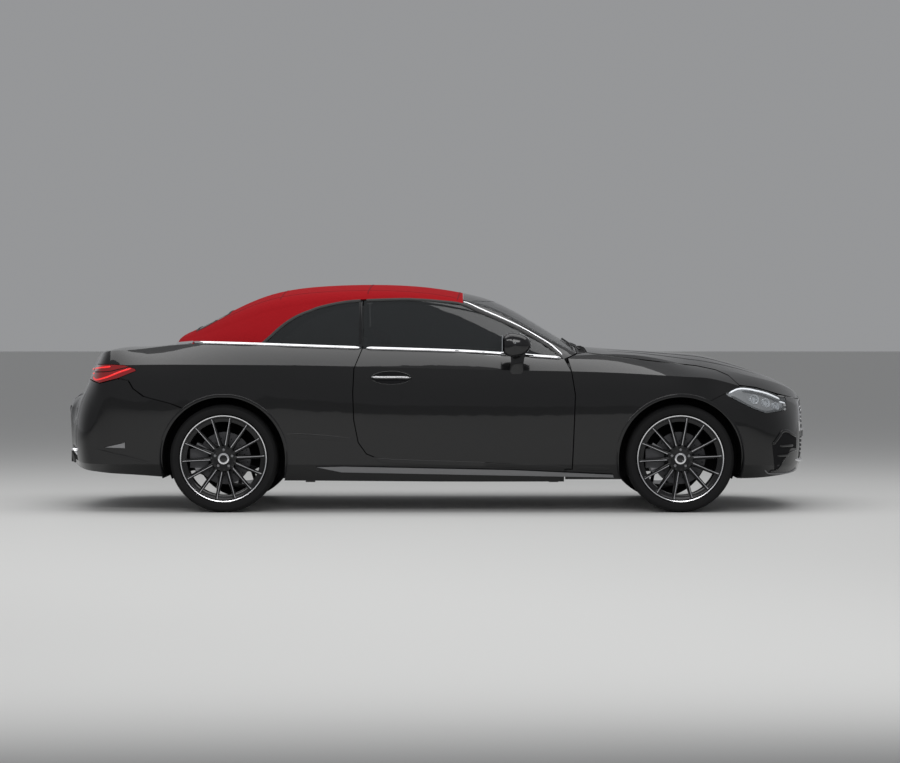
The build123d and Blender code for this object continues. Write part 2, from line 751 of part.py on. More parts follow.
front_beam = cut(
    box_between((x0 - 60, -well_inner_y, 196), (x0 + 60, well_inner_y, 300)), remove=[front_structure]
)
with BuildPart() as front_axle:
    add(cut(front_beam, keep=[box_between((0, -470, 196), (3000, 470, 252))]))
    for side in (-1, 1):
        for low_z in (axle_z - 142, axle_z + 116):
            inner_y = well_inner_y if low_z > axle_z else 460
            low_y, high_y = sorted((side * inner_y, side * (kingpin_y + 25)))
            add(box_between((x0 - 30, low_y, low_z), (x0 + 30, high_y, low_z + 26)))
        with BuildSketch(Plane.XY.offset(axle_z - 150)):
            with Locations((x0, side * kingpin_y)):
                Circle(12.4)
        extrude(amount=300, mode=Mode.SUBTRACT)
save(front_axle.part, "front_axle")

silencer = box_between((r0 - 210, -380, 205), (r0 + 66, 380, 300))
tip = cut(
    prism(section_plane(tip_x), tip_half, 140),
    remove=[prism(section_plane(tip_x - 10), tip_half, 90, grow=-6), rear_body],
)
save(joined(both_sides(tip), silencer), "exhaust")
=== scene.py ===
"""Looks of the two-door convertible car: black body, red fabric soft top, dark multi-spoke wheels."""
import json
from math import copysign, cos, inf, pi, radians, sin, tau
import bmesh
import bpy
from mathutils import Matrix, Vector
from mathutils.bvhtree import BVHTree


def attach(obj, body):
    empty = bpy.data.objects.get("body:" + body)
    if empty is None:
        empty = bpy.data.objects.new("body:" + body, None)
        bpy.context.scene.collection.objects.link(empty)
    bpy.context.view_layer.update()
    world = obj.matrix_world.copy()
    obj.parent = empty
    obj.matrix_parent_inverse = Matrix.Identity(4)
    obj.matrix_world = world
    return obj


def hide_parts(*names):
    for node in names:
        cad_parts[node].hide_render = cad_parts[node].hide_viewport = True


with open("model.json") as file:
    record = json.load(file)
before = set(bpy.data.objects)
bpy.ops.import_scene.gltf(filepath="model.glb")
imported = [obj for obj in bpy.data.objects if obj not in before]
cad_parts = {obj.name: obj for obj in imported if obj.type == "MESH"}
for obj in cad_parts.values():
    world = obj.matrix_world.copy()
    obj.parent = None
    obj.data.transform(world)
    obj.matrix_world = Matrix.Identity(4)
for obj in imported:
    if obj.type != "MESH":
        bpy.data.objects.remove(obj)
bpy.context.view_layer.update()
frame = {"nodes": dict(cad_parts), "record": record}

nodes = frame["nodes"]
FRONT_AXLE, REAR_AXLE = 1.529, -1.336
AXLES = (("front", FRONT_AXLE), ("rear", REAR_AXLE))
TYRE_RADIUS, GROOVE_DEPTH = 0.338, 0.0075
AXLE_Z, WHEEL_Y = TYRE_RADIUS, 0.795
ARCH_RADIUS = 0.397
REAR_FACE, FRONT_FACE = -1.9, 1.9          # the end faces lie beyond these x
SIDES = {"right": -1, "left": 1}
scene = bpy.context.scene


# ---- materials
def material(name, color, rough=0.4, metal=0.0, coat=0.0, coat_rough=0.03, alpha=1.0, emission=0.0, spec=0.5):
    m = bpy.data.materials.new(name)
    m.use_nodes = True
    values = {"Base Color": (*color, 1), "Roughness": rough, "Metallic": metal, "Coat Weight": coat,
              "Coat Roughness": coat_rough, "Alpha": alpha, "Specular IOR Level": spec, "IOR": 1.5}
    if emission:
        values |= {"Emission Color": (*color, 1), "Emission Strength": emission}
    for socket, value in values.items():
        m.node_tree.nodes["Principled BSDF"].inputs[socket].default_value = value
    return m


def bump(m, kind, scale, strength, distance=0.001):
    """Adds a fine procedural relief in object space."""
    t = m.node_tree
    place = t.nodes.new("ShaderNodeTexCoord").outputs["Object"]
    if kind == "weave":
        mix = t.nodes.new("ShaderNodeMath")
        mix.operation = "MULTIPLY"
        for i, direction in enumerate("XY"):
            w = t.nodes.new("ShaderNodeTexWave")
            w.bands_direction = direction
            w.inputs["Scale"].default_value = scale
            w.inputs["Distortion"].default_value = 0.6
            t.links.new(place, w.inputs["Vector"])
            t.links.new(w.outputs["Fac"], mix.inputs[i])
        height = mix.outputs[0]
    else:
        n = t.nodes.new("ShaderNodeTexNoise")
        n.inputs["Scale"].default_value = scale
        n.inputs["Detail"].default_value = 6
        t.links.new(place, n.inputs["Vector"])
        height = n.outputs["Fac"]
    b = t.nodes.new("ShaderNodeBump")
    b.inputs["Strength"].default_value = strength
    b.inputs["Distance"].default_value = distance
    t.links.new(height, b.inputs["Height"])
    t.links.new(b.outputs["Normal"], t.nodes["Principled BSDF"].inputs["Normal"])
    return m


paint = material("black_paint", (0.003, 0.003, 0.0034), rough=0.35, spec=0.12, coat=0.85, coat_rough=0.02)
fabric = bump(material("red_fabric", (0.30, 0.007, 0.011), rough=0.95, spec=0.1), "weave", 700, 0.35)
seam_red = material("red_seam", (0.17, 0.004, 0.008), rough=0.95, spec=0.2)
glass = material("tinted_glass", (0.012, 0.014, 0.015), rough=0.02, coat=0.5, alpha=0.74)
screen_glass = material("windscreen_glass", (0.012, 0.015, 0.017), rough=0.02, coat=0.6, alpha=0.66)
seal = material("rubber_seal", (0.010, 0.010, 0.010), rough=0.55)
chrome = material("chrome", (0.86, 0.86, 0.88), rough=0.07, metal=1.0)
satin = material("satin_metal", (0.30, 0.30, 0.31), rough=0.32, metal=1.0)
iron = bump(material("cast_iron", (0.10, 0.10, 0.105), rough=0.55, metal=0.8), "noise", 220, 0.25)
alloy = bump(material("aluminium", (0.42, 0.43, 0.44), rough=0.42, metal=1.0), "noise", 120, 0.15)
plastic = bump(material("black_plastic", (0.014, 0.014, 0.015), rough=0.6), "noise", 500, 0.2, 0.0004)
gloss = material("gloss_black_plastic", (0.004, 0.004, 0.0045), rough=0.12, spec=0.4, coat=0.4)
# matte black: the real colour of the wheel-well linings and a tail-lamp line, and painted shade in the handle
# recesses, the brake-disc holes, the exhaust throats, behind the grille and the lower intake, and on the
# corner intakes
dark = material("wheel_well_lining", (0.008, 0.008, 0.009), rough=0.9, spec=0.2)
structure = material("structure", (0.016, 0.016, 0.018), rough=0.45)
leather = bump(material("black_leather", (0.018, 0.0175, 0.019), rough=0.5), "noise", 380, 0.3, 0.0006)
tyre_rubber = bump(material("tyre", (0.008, 0.008, 0.0084), rough=0.78, spec=0.2), "noise", 300, 0.12, 0.0004)
rim_black = material("rim_black", (0.004, 0.004, 0.0045), rough=0.3, spec=0.2, coat=0.5)
polished = material("machined_face", (0.90, 0.90, 0.92), rough=0.22, metal=1.0)
brushed = bump(material("brushed_edge", (0.62, 0.62, 0.64), rough=0.34, metal=1.0), "noise", 900, 0.1, 0.0003)
lamp_cover = material("lamp_cover", (0.60, 0.63, 0.66), rough=0.03, alpha=0.16, coat=1.0)
lamp_body = material("lamp_body", (0.03, 0.032, 0.036), rough=0.25, metal=0.6)
lamp_silver = material("lamp_reflector", (0.34, 0.35, 0.36), rough=0.3, metal=0.8)
lens = material("lamp_lens", (0.50, 0.53, 0.56), rough=0.12, metal=0.5, coat=1.0)
light_bar = material("light_bar", (0.85, 0.88, 0.92), rough=0.2, emission=0.35)
red_lamp = material("red_lamp", (0.24, 0.003, 0.005), rough=0.08, coat=0.8)
red_glow = material("red_light", (0.90, 0.03, 0.03), rough=0.2, emission=0.45)
carpet = bump(material("carpet", (0.012, 0.012, 0.013), rough=0.98, spec=0.1), "noise", 900, 0.4)
belt_red = material("belt_webbing", (0.24, 0.01, 0.014), rough=0.8)

NODE_LOOKS = {
    "black_paint": paint, "structure": structure, "red_fabric": fabric, "tinted_glass": glass,
    "chrome_trim": chrome, "black_plastic": plastic, "gloss_black_plastic": gloss, "lamp_clear": lamp_cover,
    "lamp_red": red_lamp, "black_leather": leather, "tyre": tyre_rubber, "rim_black": rim_black,
    "steel": satin, "cast_iron": iron, "aluminium": alloy,
}
node_slots = {s["node"]: s["material_slot"] for s in frame["record"]["subparts"]}
for name, obj in nodes.items():
    obj.data.materials.clear()
    obj.data.materials.append(NODE_LOOKS[node_slots[name]])
nodes["windscreen"].data.materials[0] = screen_glass


# ---- building pieces
def linked(name, data):
    """A new object in the scene."""
    obj = bpy.data.objects.new(name, data)
    scene.collection.objects.link(obj)
    return obj


def piece(name, verts, faces, look, body="body", smooth=True, bevel=0.0, replace=(), slot=None, sharp=35):
    """Adds an object that rides on a body and hides the nodes it stands for; its slot is not used."""
    me = bpy.data.meshes.new(name)
    me.from_pydata([tuple(v) for v in verts], [], [tuple(f) for f in faces])
    bm = bmesh.new()
    bm.from_mesh(me)
    bmesh.ops.remove_doubles(bm, verts=bm.verts, dist=1e-6)
    bmesh.ops.recalc_face_normals(bm, faces=bm.faces)
    bm.to_mesh(me)
    bm.free()
    obj = linked(name, me)
    me.materials.append(look)
    if smooth:
        me.shade_smooth()
        me.set_sharp_from_angle(angle=radians(sharp))
    if bevel:
        mod = obj.modifiers.new("edge", "BEVEL")
        mod.width, mod.segments, mod.limit_method, mod.angle_limit = bevel, 2, "ANGLE", radians(40)
        mod.harden_normals = True
    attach(obj, body)
    if replace:
        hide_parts(*replace)
    return obj


def merged(parts):
    """Joins (verts, faces) lists into one."""
    verts, faces = [], []
    for v, f in parts:
        base = len(verts)
        verts += list(v)
        faces += [tuple(i + base for i in face) for face in f]
    return verts, faces


def flipped(part):
    """The same piece on the other side of the car."""
    verts, faces = part
    return [Vector((v[0], -v[1], v[2])) for v in verts], [tuple(reversed(f)) for f in faces]


def block(lo, hi):
    """A box between two corners."""
    v = [Vector((x, y, z)) for z in (lo[2], hi[2]) for y in (lo[1], hi[1]) for x in (lo[0], hi[0])]
    return v, [(0, 2, 3, 1), (4, 5, 7, 6), (0, 1, 5, 4), (2, 6, 7, 3), (0, 4, 6, 2), (1, 3, 7, 5)]


def blocks(name, look, *corners, **more):
    """Boxes of the fixed body as one piece."""
    return piece(name, *merged([block(lo, hi) for lo, hi in corners]), look, smooth=False, **more)


def oval(centre, half, steps, share=1.0):
    """Points (x, z) of an ellipse."""
    turns = [tau * k / steps for k in range(steps)]
    return [(centre[0] + half[0] * share * cos(a), centre[1] + half[1] * share * sin(a)) for a in turns]


def net(rows, columns, wrap_rows=False, wrap_columns=False):
    """Quads between points that are held row by row."""
    faces = []
    for i in range(rows if wrap_rows else rows - 1):
        for k in range(columns if wrap_columns else columns - 1):
            j, m = (i + 1) % rows, (k + 1) % columns
            faces.append((i * columns + k, j * columns + k, j * columns + m, i * columns + m))
    return faces


def skinned(rings):
    """A closed skin over rings of points, with both ends capped."""
    sides, last = len(rings[0]), (len(rings) - 1) * len(rings[0])
    caps = [tuple(range(sides)), tuple(last + k for k in reversed(range(sides)))]
    return [v for ring in rings for v in ring], net(len(rings), sides, wrap_columns=True) + caps


def lathe(profile, steps=96, origin=(0, 0, 0), axis="Y", arc=None):
    """A closed (radius, offset) profile turned about an axis, all round or over an arc."""
    start, end = arc or (0, tau)
    count = steps + 1 if arc else steps
    verts = []
    for i in range(count):
        a = start + (end - start) * i / steps
        for r, o in profile:
            c, s = r * cos(a), r * sin(a)
            verts.append(Vector(origin) + Vector({"Y": (c, o, s), "X": (o, c, s), "Z": (c, s, o)}[axis]))
    return verts, net(count, len(profile), wrap_rows=not arc, wrap_columns=True)


def bar(points, normals, width, depth, sides=8, closed=False, round_bar=False, taper=0.0, sink=0.0):
    """A trim bar along points: a low rounded section standing out along the normals, or a round section."""
    pts = [Vector(p) for p in points]
    n = len(pts)
    rings = []
    for i, p in enumerate(pts):
        before = pts[(i - 1) % n] if closed or i else pts[0]
        after = pts[(i + 1) % n] if closed or i < n - 1 else pts[-1]
        tangent = (after - before).normalized()
        if round_bar:
            normal = Vector((0, 0, 1)) if abs(tangent.z) < 0.9 else Vector((1, 0, 0))
        else:
            normal = Vector(normals[i])
        normal = (normal - tangent * normal.dot(tangent)).normalized()
        side = tangent.cross(normal)
        share = 1.0
        if taper and not closed:
            along = min(i, n - 1 - i) / (n - 1)
            share = min(1.0, max(0.02, along / taper)) ** 0.6
        ring = []
        for k in range(sides):
            if round_bar:
                a = tau * k / sides
                ring.append(p + side * cos(a) * width / 2 + normal * sin(a) * depth / 2)
            else:
                a = pi * k / (sides - 1)
                across = copysign(abs(cos(a)) ** 0.7, cos(a))
                out = max(sin(a), 0.0) ** 0.6
                ring.append(p + side * across * width / 2 * share + normal * (out * depth * share - sink))
        rings.append(ring)
    if closed:
        return [v for ring in rings for v in ring], net(n, sides, wrap_rows=True, wrap_columns=True)
    return skinned(rings)


def tube(points, radius):
    """A round bar along points."""
    return bar(points, None, radius * 2, radius * 2, sides=12, round_bar=True)


def smooth_line(points, count=60):
    """Evenly spaced points on a smooth curve through points."""
    pts = [Vector((*p, 0)) if len(p) == 2 else Vector(p) for p in points]
    ext = [pts[0] * 2 - pts[1]] + pts + [pts[-1] * 2 - pts[-2]]
    dense = []
    for i in range(len(pts) - 1):
        a, b, c, d = ext[i:i + 4]
        for k in range(16):
            t = k / 16
            dense.append(0.5 * ((2 * b) + (c - a) * t + (2 * a - 5 * b + 4 * c - d) * t * t
                                + (3 * b - a - 3 * c + d) * t ** 3))
    dense.append(pts[-1])
    length = [0.0]
    for a, b in zip(dense, dense[1:]):
        length.append(length[-1] + (b - a).length)
    out, j = [], 0
    for i in range(count):
        want = length[-1] * i / (count - 1)
        while j < len(length) - 2 and length[j + 1] < want:
            j += 1
        share = (want - length[j]) / max(1e-9, length[j + 1] - length[j])
        p = dense[j].lerp(dense[j + 1], min(1, share))
        out.append(tuple(p)[:len(points[0])])
    return out


# ---- reading the frame's surface
def tree(names):
    """A search tree over the surfaces of nodes."""
    verts, faces = [], []
    for n in names:
        me = nodes[n].data
        base = len(verts)
        verts += [v.co.copy() for v in me.vertices]
        faces += [tuple(i + base for i in p.vertices) for p in me.polygons]
    return BVHTree.FromPolygons(verts, faces)


body_tree = tree(["door_right", "front_wings", "rear_body", "floor_and_sills", "front_bumper", "rear_bumper",
                  "bonnet", "boot_lid", "headlamps", "tail_lamps", "cowl"])
top_tree = tree(["soft_top"])
house_tree = tree(["soft_top", "door_glass_right", "quarter_glasses", "windscreen_frame", "windscreen",
                   "rear_window"])


def probe(which, origin, direction, fallback_shift, good):
    """First hit of a ray that good() accepts; a shut gap is bridged from the points beside it."""
    for step in (0, 1, -1, 2, -2, 3, -3):
        start = Vector(origin) + Vector(fallback_shift) * step
        hit, normal, _, _ = which.ray_cast(start, Vector(direction))
        if hit is not None and good(hit):
            if normal.dot(Vector(direction)) > 0:
                normal = -normal
            return hit - Vector(fallback_shift) * step, normal
    return None, None


def side_at(x, z, which=None, deepest=-0.35):
    """Point and normal of the right side at (x, z)."""
    return probe(which or body_tree, (x, -1.4, z), (0, 1, 0), (0.012, 0, 0), lambda h: h.y < deepest)


def top_at(x, y, which=None, lowest=0.6):
    """Point and normal of the top at (x, y)."""
    return probe(which or body_tree, (x, y, 1.9), (0, 0, -1), (0.012, 0, 0), lambda h: h.z > lowest)


def rear_at(y, z, which):
    """Point and normal of the rear face at (y, z)."""
    return probe(which, (-3.0, y, z), (1, 0, 0), (0, 0.006, 0), lambda p: p.x < REAR_FACE)


def front_at(y, z, which, lowest_x=FRONT_FACE):
    """Point and normal of the front face at (y, z)."""
    return probe(which, (3.0, y, z), (-1, 0, 0), (0, 0.006, 0), lambda p: p.x > lowest_x)


def found(pairs):
    """The points and the normals of the pairs that hit something."""
    good = [(h, n) for h, n in pairs if h is not None]
    return [h for h, _ in good], [n for _, n in good]


def on_side(line, which=None, deepest=-0.35):
    return found(side_at(x, z, which, deepest) for x, z in line)


def across_rear(y_to, z, which, count=60):
    """Points and normals of the rear face at a height, from one side to the other."""
    return found(rear_at(-y_to + 2 * y_to * i / count, z, which) for i in range(count + 1))


def patch(low, high, rows, lift, which=None):
    """A skin laid on the side surface between two lines of as many points."""
    verts = []
    for j in range(rows + 1):
        for a, b in zip(low, high):
            x, z = a[0] + (b[0] - a[0]) * j / rows, a[1] + (b[1] - a[1]) * j / rows
            h, n = side_at(x, z, which)
            verts.append(h + n * lift if h is not None else verts[-1])
    return verts, net(rows + 1, len(low))


def cushion(centre, half, tilt=0.0, grooves=0, power=0.38, across=40, up=28):
    """A stuffed block with rounded edges; grooves run across its upper side. tilt is in degrees about y."""
    def soft(t):
        return copysign(abs(t) ** power, t)

    verts = []
    for j in range(up + 1):
        v = -pi / 2 + pi * j / up
        for i in range(across):
            u = tau * i / across
            x = half[0] * soft(cos(v)) * soft(cos(u))
            y = half[1] * soft(cos(v)) * soft(sin(u))
            z = half[2] * soft(sin(v))
            if grooves and z > half[2] * 0.6 and abs(y) < half[1] * 0.62:
                z -= 0.005 * (0.5 + 0.5 * cos(tau * grooves * (x + half[0]) / (2 * half[0]))) ** 6
            verts.append(Vector((x, y, z)))
    turn = Matrix.Rotation(radians(tilt), 3, "Y")
    return [Vector(centre) + turn @ p for p in verts], net(up + 1, across, wrap_columns=True)


def both(name, part, look, body="body", **more):
    """A piece and its mirror image as one object."""
    return piece(name, *merged([part, flipped(part)]), look, body, **more)


def each_side(name, part, look, **more):
    """A piece on each door."""
    for side in SIDES:
        p = part if side == "right" else flipped(part)
        extra = {k: (tuple(n.format(side=side) for n in v) if k == "replace" else v) for k, v in more.items()}
        piece(f"{name}_{side}", *p, look, f"door_{side}", **extra)


def side_bar(name, line, width, depth, look, which=None, slot=None, placed=both, **shape):
    """A trim bar laid along a line of (x, z) on each side of the car."""
    pts, nrm = on_side(line, which)
    placed(name, bar(pts, nrm, width, depth, **shape), look, slot=slot)


# ---- belt trim, seals and pillar trim
BELT = [(-1.575, 1.062), (-1.336, 1.056), (-1.106, 1.049), (-0.549, 1.029), (0.084, 1.009), (0.400, 0.991),
        (0.802, 0.963)]
GLASS = [(-1.106, 1.056), (-1.056, 1.101), (-0.992, 1.161), (-0.929, 1.208), (-0.866, 1.243), (-0.802, 1.268),
         (-0.739, 1.291), (-0.612, 1.319), (-0.486, 1.332), (-0.233, 1.341), (-0.106, 1.338), (0.020, 1.329),
         (0.160, 1.311), (0.274, 1.261), (0.400, 1.207), (0.527, 1.147), (0.654, 1.074), (0.717, 1.033),
         (0.785, 0.972)]


def belt_strip(x_from, x_to):
    pts, _ = on_side([(x, z - 0.002) for x, z in smooth_line(BELT, 140) if x_from <= x <= x_to])
    pts = [Vector((p.x, p.y, p.z + 0.008)) for p in pts]
    return bar(pts, [Vector((0, -1, 0.25))] * len(pts), 0.017, 0.007, taper=0.02, sink=0.001)


each_side("door_belt_trim", belt_strip(-0.462, 0.80), chrome, slot="chrome_trim")
both("quarter_belt_trim", belt_strip(-1.56, -0.472), chrome, slot="chrome_trim")

glass_top = smooth_line(GLASS, 110)
seal_pts, seal_nrm = on_side([(x, z - 0.001) for x, z in glass_top], house_tree)
for name, x_from, x_to in (("door", -0.460, inf), ("quarter", -inf, -0.478)):
    pts, nrm = found((p, n) for p, n in zip(seal_pts, seal_nrm) if x_from < p.x < x_to)
    both(f"{name}_glass_seal", bar(pts, nrm, 0.020, 0.006, sink=0.001), seal)
post_line = [(-0.483, z / 100) for z in range(106, 133, 2)]
side_bar("quarter_glass_post", post_line, 0.016, 0.005, gloss, house_tree, sink=0.001)
pillar_line = [(x + 0.010, z + 0.016) for x, z in glass_top if x > 0.150]
side_bar("pillar_chrome_line", pillar_line, 0.013, 0.006, chrome, house_tree, "chrome_trim", taper=0.03,
         sink=0.001)

# the chrome line goes on round the rear foot of the soft top, which rays towards a centre find
FOOT_X = -0.95
foot = []
for i in range(81):
    a = radians(100 + 160 * i / 80)
    out_way = Vector((cos(a), sin(a), 0))
    z = 1.082
    for _ in range(4):
        start = Vector((FOOT_X, 0, z)) + out_way * 2
        h, _ = probe(top_tree, start, -out_way, (0, 0.003, 0), lambda p: p.x < -1)
        under = top_at(h.x + out_way.x * 0.012, h.y + out_way.y * 0.012)[0] if h is not None else None
        if under is None:
            break
        z = under.z + 0.010
    if under is not None and h.x < -1.590:
        foot.append(Vector((h.x + out_way.x * 0.003, h.y + out_way.y * 0.003, under.z + 0.004)))
trim_end = side_at(-1.550, 1.059)[0] + Vector((0, 0, 0.008))
foot = [Vector((trim_end.x, -trim_end.y, trim_end.z))] + foot[::3] + [trim_end]
foot = [Vector(p) for p in smooth_line([tuple(p) for p in foot], 120)]
foot_out = [Vector((p.x - FOOT_X, p.y, 0)).normalized() + Vector((0, 0, 0.6)) for p in foot]
piece("rear_belt_trim", *bar(foot, foot_out, 0.020, 0.007), chrome, slot="chrome_trim")


# ---- creases low on the side
def crease(name, line, depth, taper, placed=both):
    """A soft roll that catches the light."""
    side_bar(name, smooth_line(line, 70), 0.030, depth, paint, slot="black_paint", placed=placed, sides=14,
             taper=taper, sink=depth * 0.25)


crease("quarter_crease", [(-0.979, 0.487), (-0.740, 0.474), (-0.510, 0.456)], 0.0025, 0.25)
crease("door_crease", [(-0.391, 0.356), (-0.323, 0.324), (0.200, 0.304), (0.842, 0.279)], 0.003, 0.06,
       each_side)
crease("wing_crease", [(0.870, 0.278), (1.000, 0.273), (1.100, 0.268)], 0.003, 0.3)

# ---- wheel arch lips and linings
LIP_END_Z, BODY_SIDE_Y = 0.215, -0.80      # the lip ends above the one and keeps outside of the other
for end, x in AXLES:
    lip = [(x + ARCH_RADIUS * cos(a), AXLE_Z + ARCH_RADIUS * sin(a))
           for a in (radians(-22 + 224 * i / 80) for i in range(81))]
    hits = [side_at(px, pz, deepest=-0.6) for px, pz in lip if pz >= LIP_END_Z]
    pts, nrm = found((h, n) for h, n in hits if h is not None and h.y < BODY_SIDE_Y)
    edge = bar(pts, nrm, 0.022, 0.004, sides=10, taper=0.04, sink=0.001)
    both(f"{end}_arch_lip", edge, paint, slot="black_paint")
    lining = [(0.396, -0.905), (0.398, -0.480), (0.401, -0.480), (0.401, -0.905)]
    wall = [(0.398, -0.482), (0.05, -0.482), (0.05, -0.484), (0.398, -0.484)]
    for name, profile, low in (("lining", lining, -18), ("wall", wall, -22)):
        both(f"{end}_arch_{name}", lathe(profile, steps=60, origin=(x, 0, AXLE_Z),
                                         arc=(radians(low), radians(180 - low))), dark)


# ---- door handles
HANDLE = (-0.285, 0.844)


def dish(centre, half, rings=7, steps=48):
    """An elliptical skin set a little into the door; its matte black is painted shade in the handle's recess.
    """
    verts = [Vector((x, side_at(x, z)[0].y - 0.0015, z))
             for r in range(rings + 1) for x, z in oval(centre, half, steps, r / rings)]
    return verts, net(rings + 1, steps, wrap_columns=True)


each_side("handle_recess", dish(HANDLE, (0.122, 0.040)), dark)
side_bar("handle_rim", oval(HANDLE, (0.122, 0.041), 64), 0.007, 0.0035, gloss, placed=each_side, closed=True)
pts, nrm = on_side(smooth_line([(-0.415, 0.848), (-0.35, 0.846), (-0.285, 0.846), (-0.22, 0.846),
                                (-0.155, 0.843)], 30))
grip = bar([p + Vector((0, -0.010, 0)) for p in pts], nrm, 0.024, 0.013, sides=12, taper=0.12)
each_side("handle_grip", grip, gloss, slot="gloss_black_plastic")
strip = [p + Vector((0, -0.020, 0.002)) for p in pts[1:-1]]
strip = bar(strip, nrm[1:-1], 0.010, 0.006, sides=10, taper=0.1)
each_side("handle_chrome", strip, chrome, slot="chrome_trim")


# ---- mirrors
def mirror_shell(rings=26, steps=40, power=2.8):
    """The mirror's head: rounded sections along y, swept back at their upper and lower front."""
    out = []
    for i in range(rings + 1):
        t = i / rings
        swell = max((1 - (2 * t - 1) ** 4) ** 0.5 if 0 < t < 1 else 0.0, 0.02)
        ring = []
        for k in range(steps):
            c, s = cos(tau * k / steps), sin(tau * k / steps)
            r = (abs(c) ** power + abs(s) ** power) ** (-1 / power)
            x = 0.500 + 0.098 * swell * r * c * (0.86 if c < 0 else 1.0) - 0.012 * t
            if c > 0:
                x -= 0.045 * s * s * swell
            ring.append(Vector((x, -0.850 - 0.168 * t, 1.058 + 0.076 * swell * r * s - 0.010 * t)))
        out.append(ring)
    return skinned(out)


def mirror_stalk(rings=10, steps=20):
    """The foot under the mirror's head: ovals, narrower at mid height."""
    out = []
    for t in [i / rings for i in range(rings + 1)]:
        bend = sin(pi * t)
        out.append([Vector((0.500 + 0.010 * t + (0.052 - 0.012 * bend) * cos(tau * k / steps),
                            -0.885 - 0.022 * bend + (0.026 - 0.008 * bend) * sin(tau * k / steps),
                            0.868 + 0.140 * t)) for k in range(steps)])
    return skinned(out)


each_side("mirror_head", mirror_shell(), gloss, replace=("mirror_{side}",), slot="gloss_black_plastic")
each_side("mirror_stalk", mirror_stalk(), gloss)
face = [(0.408, -0.865 - 0.14 * u, 1.058 + v) for u, v in ((0, -0.055), (1, -0.05), (1, 0.05), (0, 0.058))]
plate = skinned([[Vector(p) + Vector((dx, 0, 0)) for p in face] for dx in (-0.0015, 0.004)])
mirror_face = material("mirror_face", (0.7, 0.72, 0.74), rough=0.02, metal=1.0)
each_side("mirror_glass", plate, mirror_face, bevel=0.002)
line = [Vector((0.588 - 0.10 * (i / 16) ** 2, -0.87 - 0.145 * i / 16, 1.062)) for i in range(17)]
each_side("mirror_indicator", bar(line, [Vector((1, -0.6, 0))] * 17, 0.010, 0.004), lens)


# ---- wheels
def at_wheel(x, side):
    """Places a piece made for a wheel at the origin, whose outside faces -Y."""
    def place(part):
        verts, faces = flipped(part) if side > 0 else part
        return [v + Vector((x, side * WHEEL_Y, AXLE_Z)) for v in verts], faces
    return place


def round_pattern(count, radius, part, first=0.0):
    """Copies of a part on circles about y; radius(k) is the distance of copy k."""
    out = []
    for k in range(count):
        a = tau * k / count + first
        verts, faces = part
        out.append(([p + Vector((radius(k) * cos(a), 0, radius(k) * sin(a))) for p in verts], faces))
    return merged(out)


def spoke(turn):
    """One spoke and the machined edge on it, turned about y."""
    body, edge = [], []
    for i in range(10):
        t = i / 9
        r = 0.062 + 0.200 * t
        half = 0.0105 - 0.0035 * t + 0.004 * max(0, t - 0.85) / 0.15
        front = -0.092 - 0.015 * sin(t * pi / 2) ** 1.2
        back = front + 0.036 - 0.010 * t
        body.append([(r, back, -half * 1.5), (r, front + 0.004, -half), (r, front, -half * 0.55),
                     (r, front, half * 0.55), (r, front + 0.004, half), (r, back, half * 1.5)])
        if i:
            edge.append([(r, front - 0.0009, half * 0.18), (r, front - 0.0009, half * 0.58),
                         (r, front + 0.0012, half * 0.72), (r, front + 0.001, half * 0.18)])
    rot = Matrix.Rotation(-turn, 3, "Y")
    return [skinned([[rot @ Vector(p) for p in ring] for ring in rings]) for rings in (body, edge)]


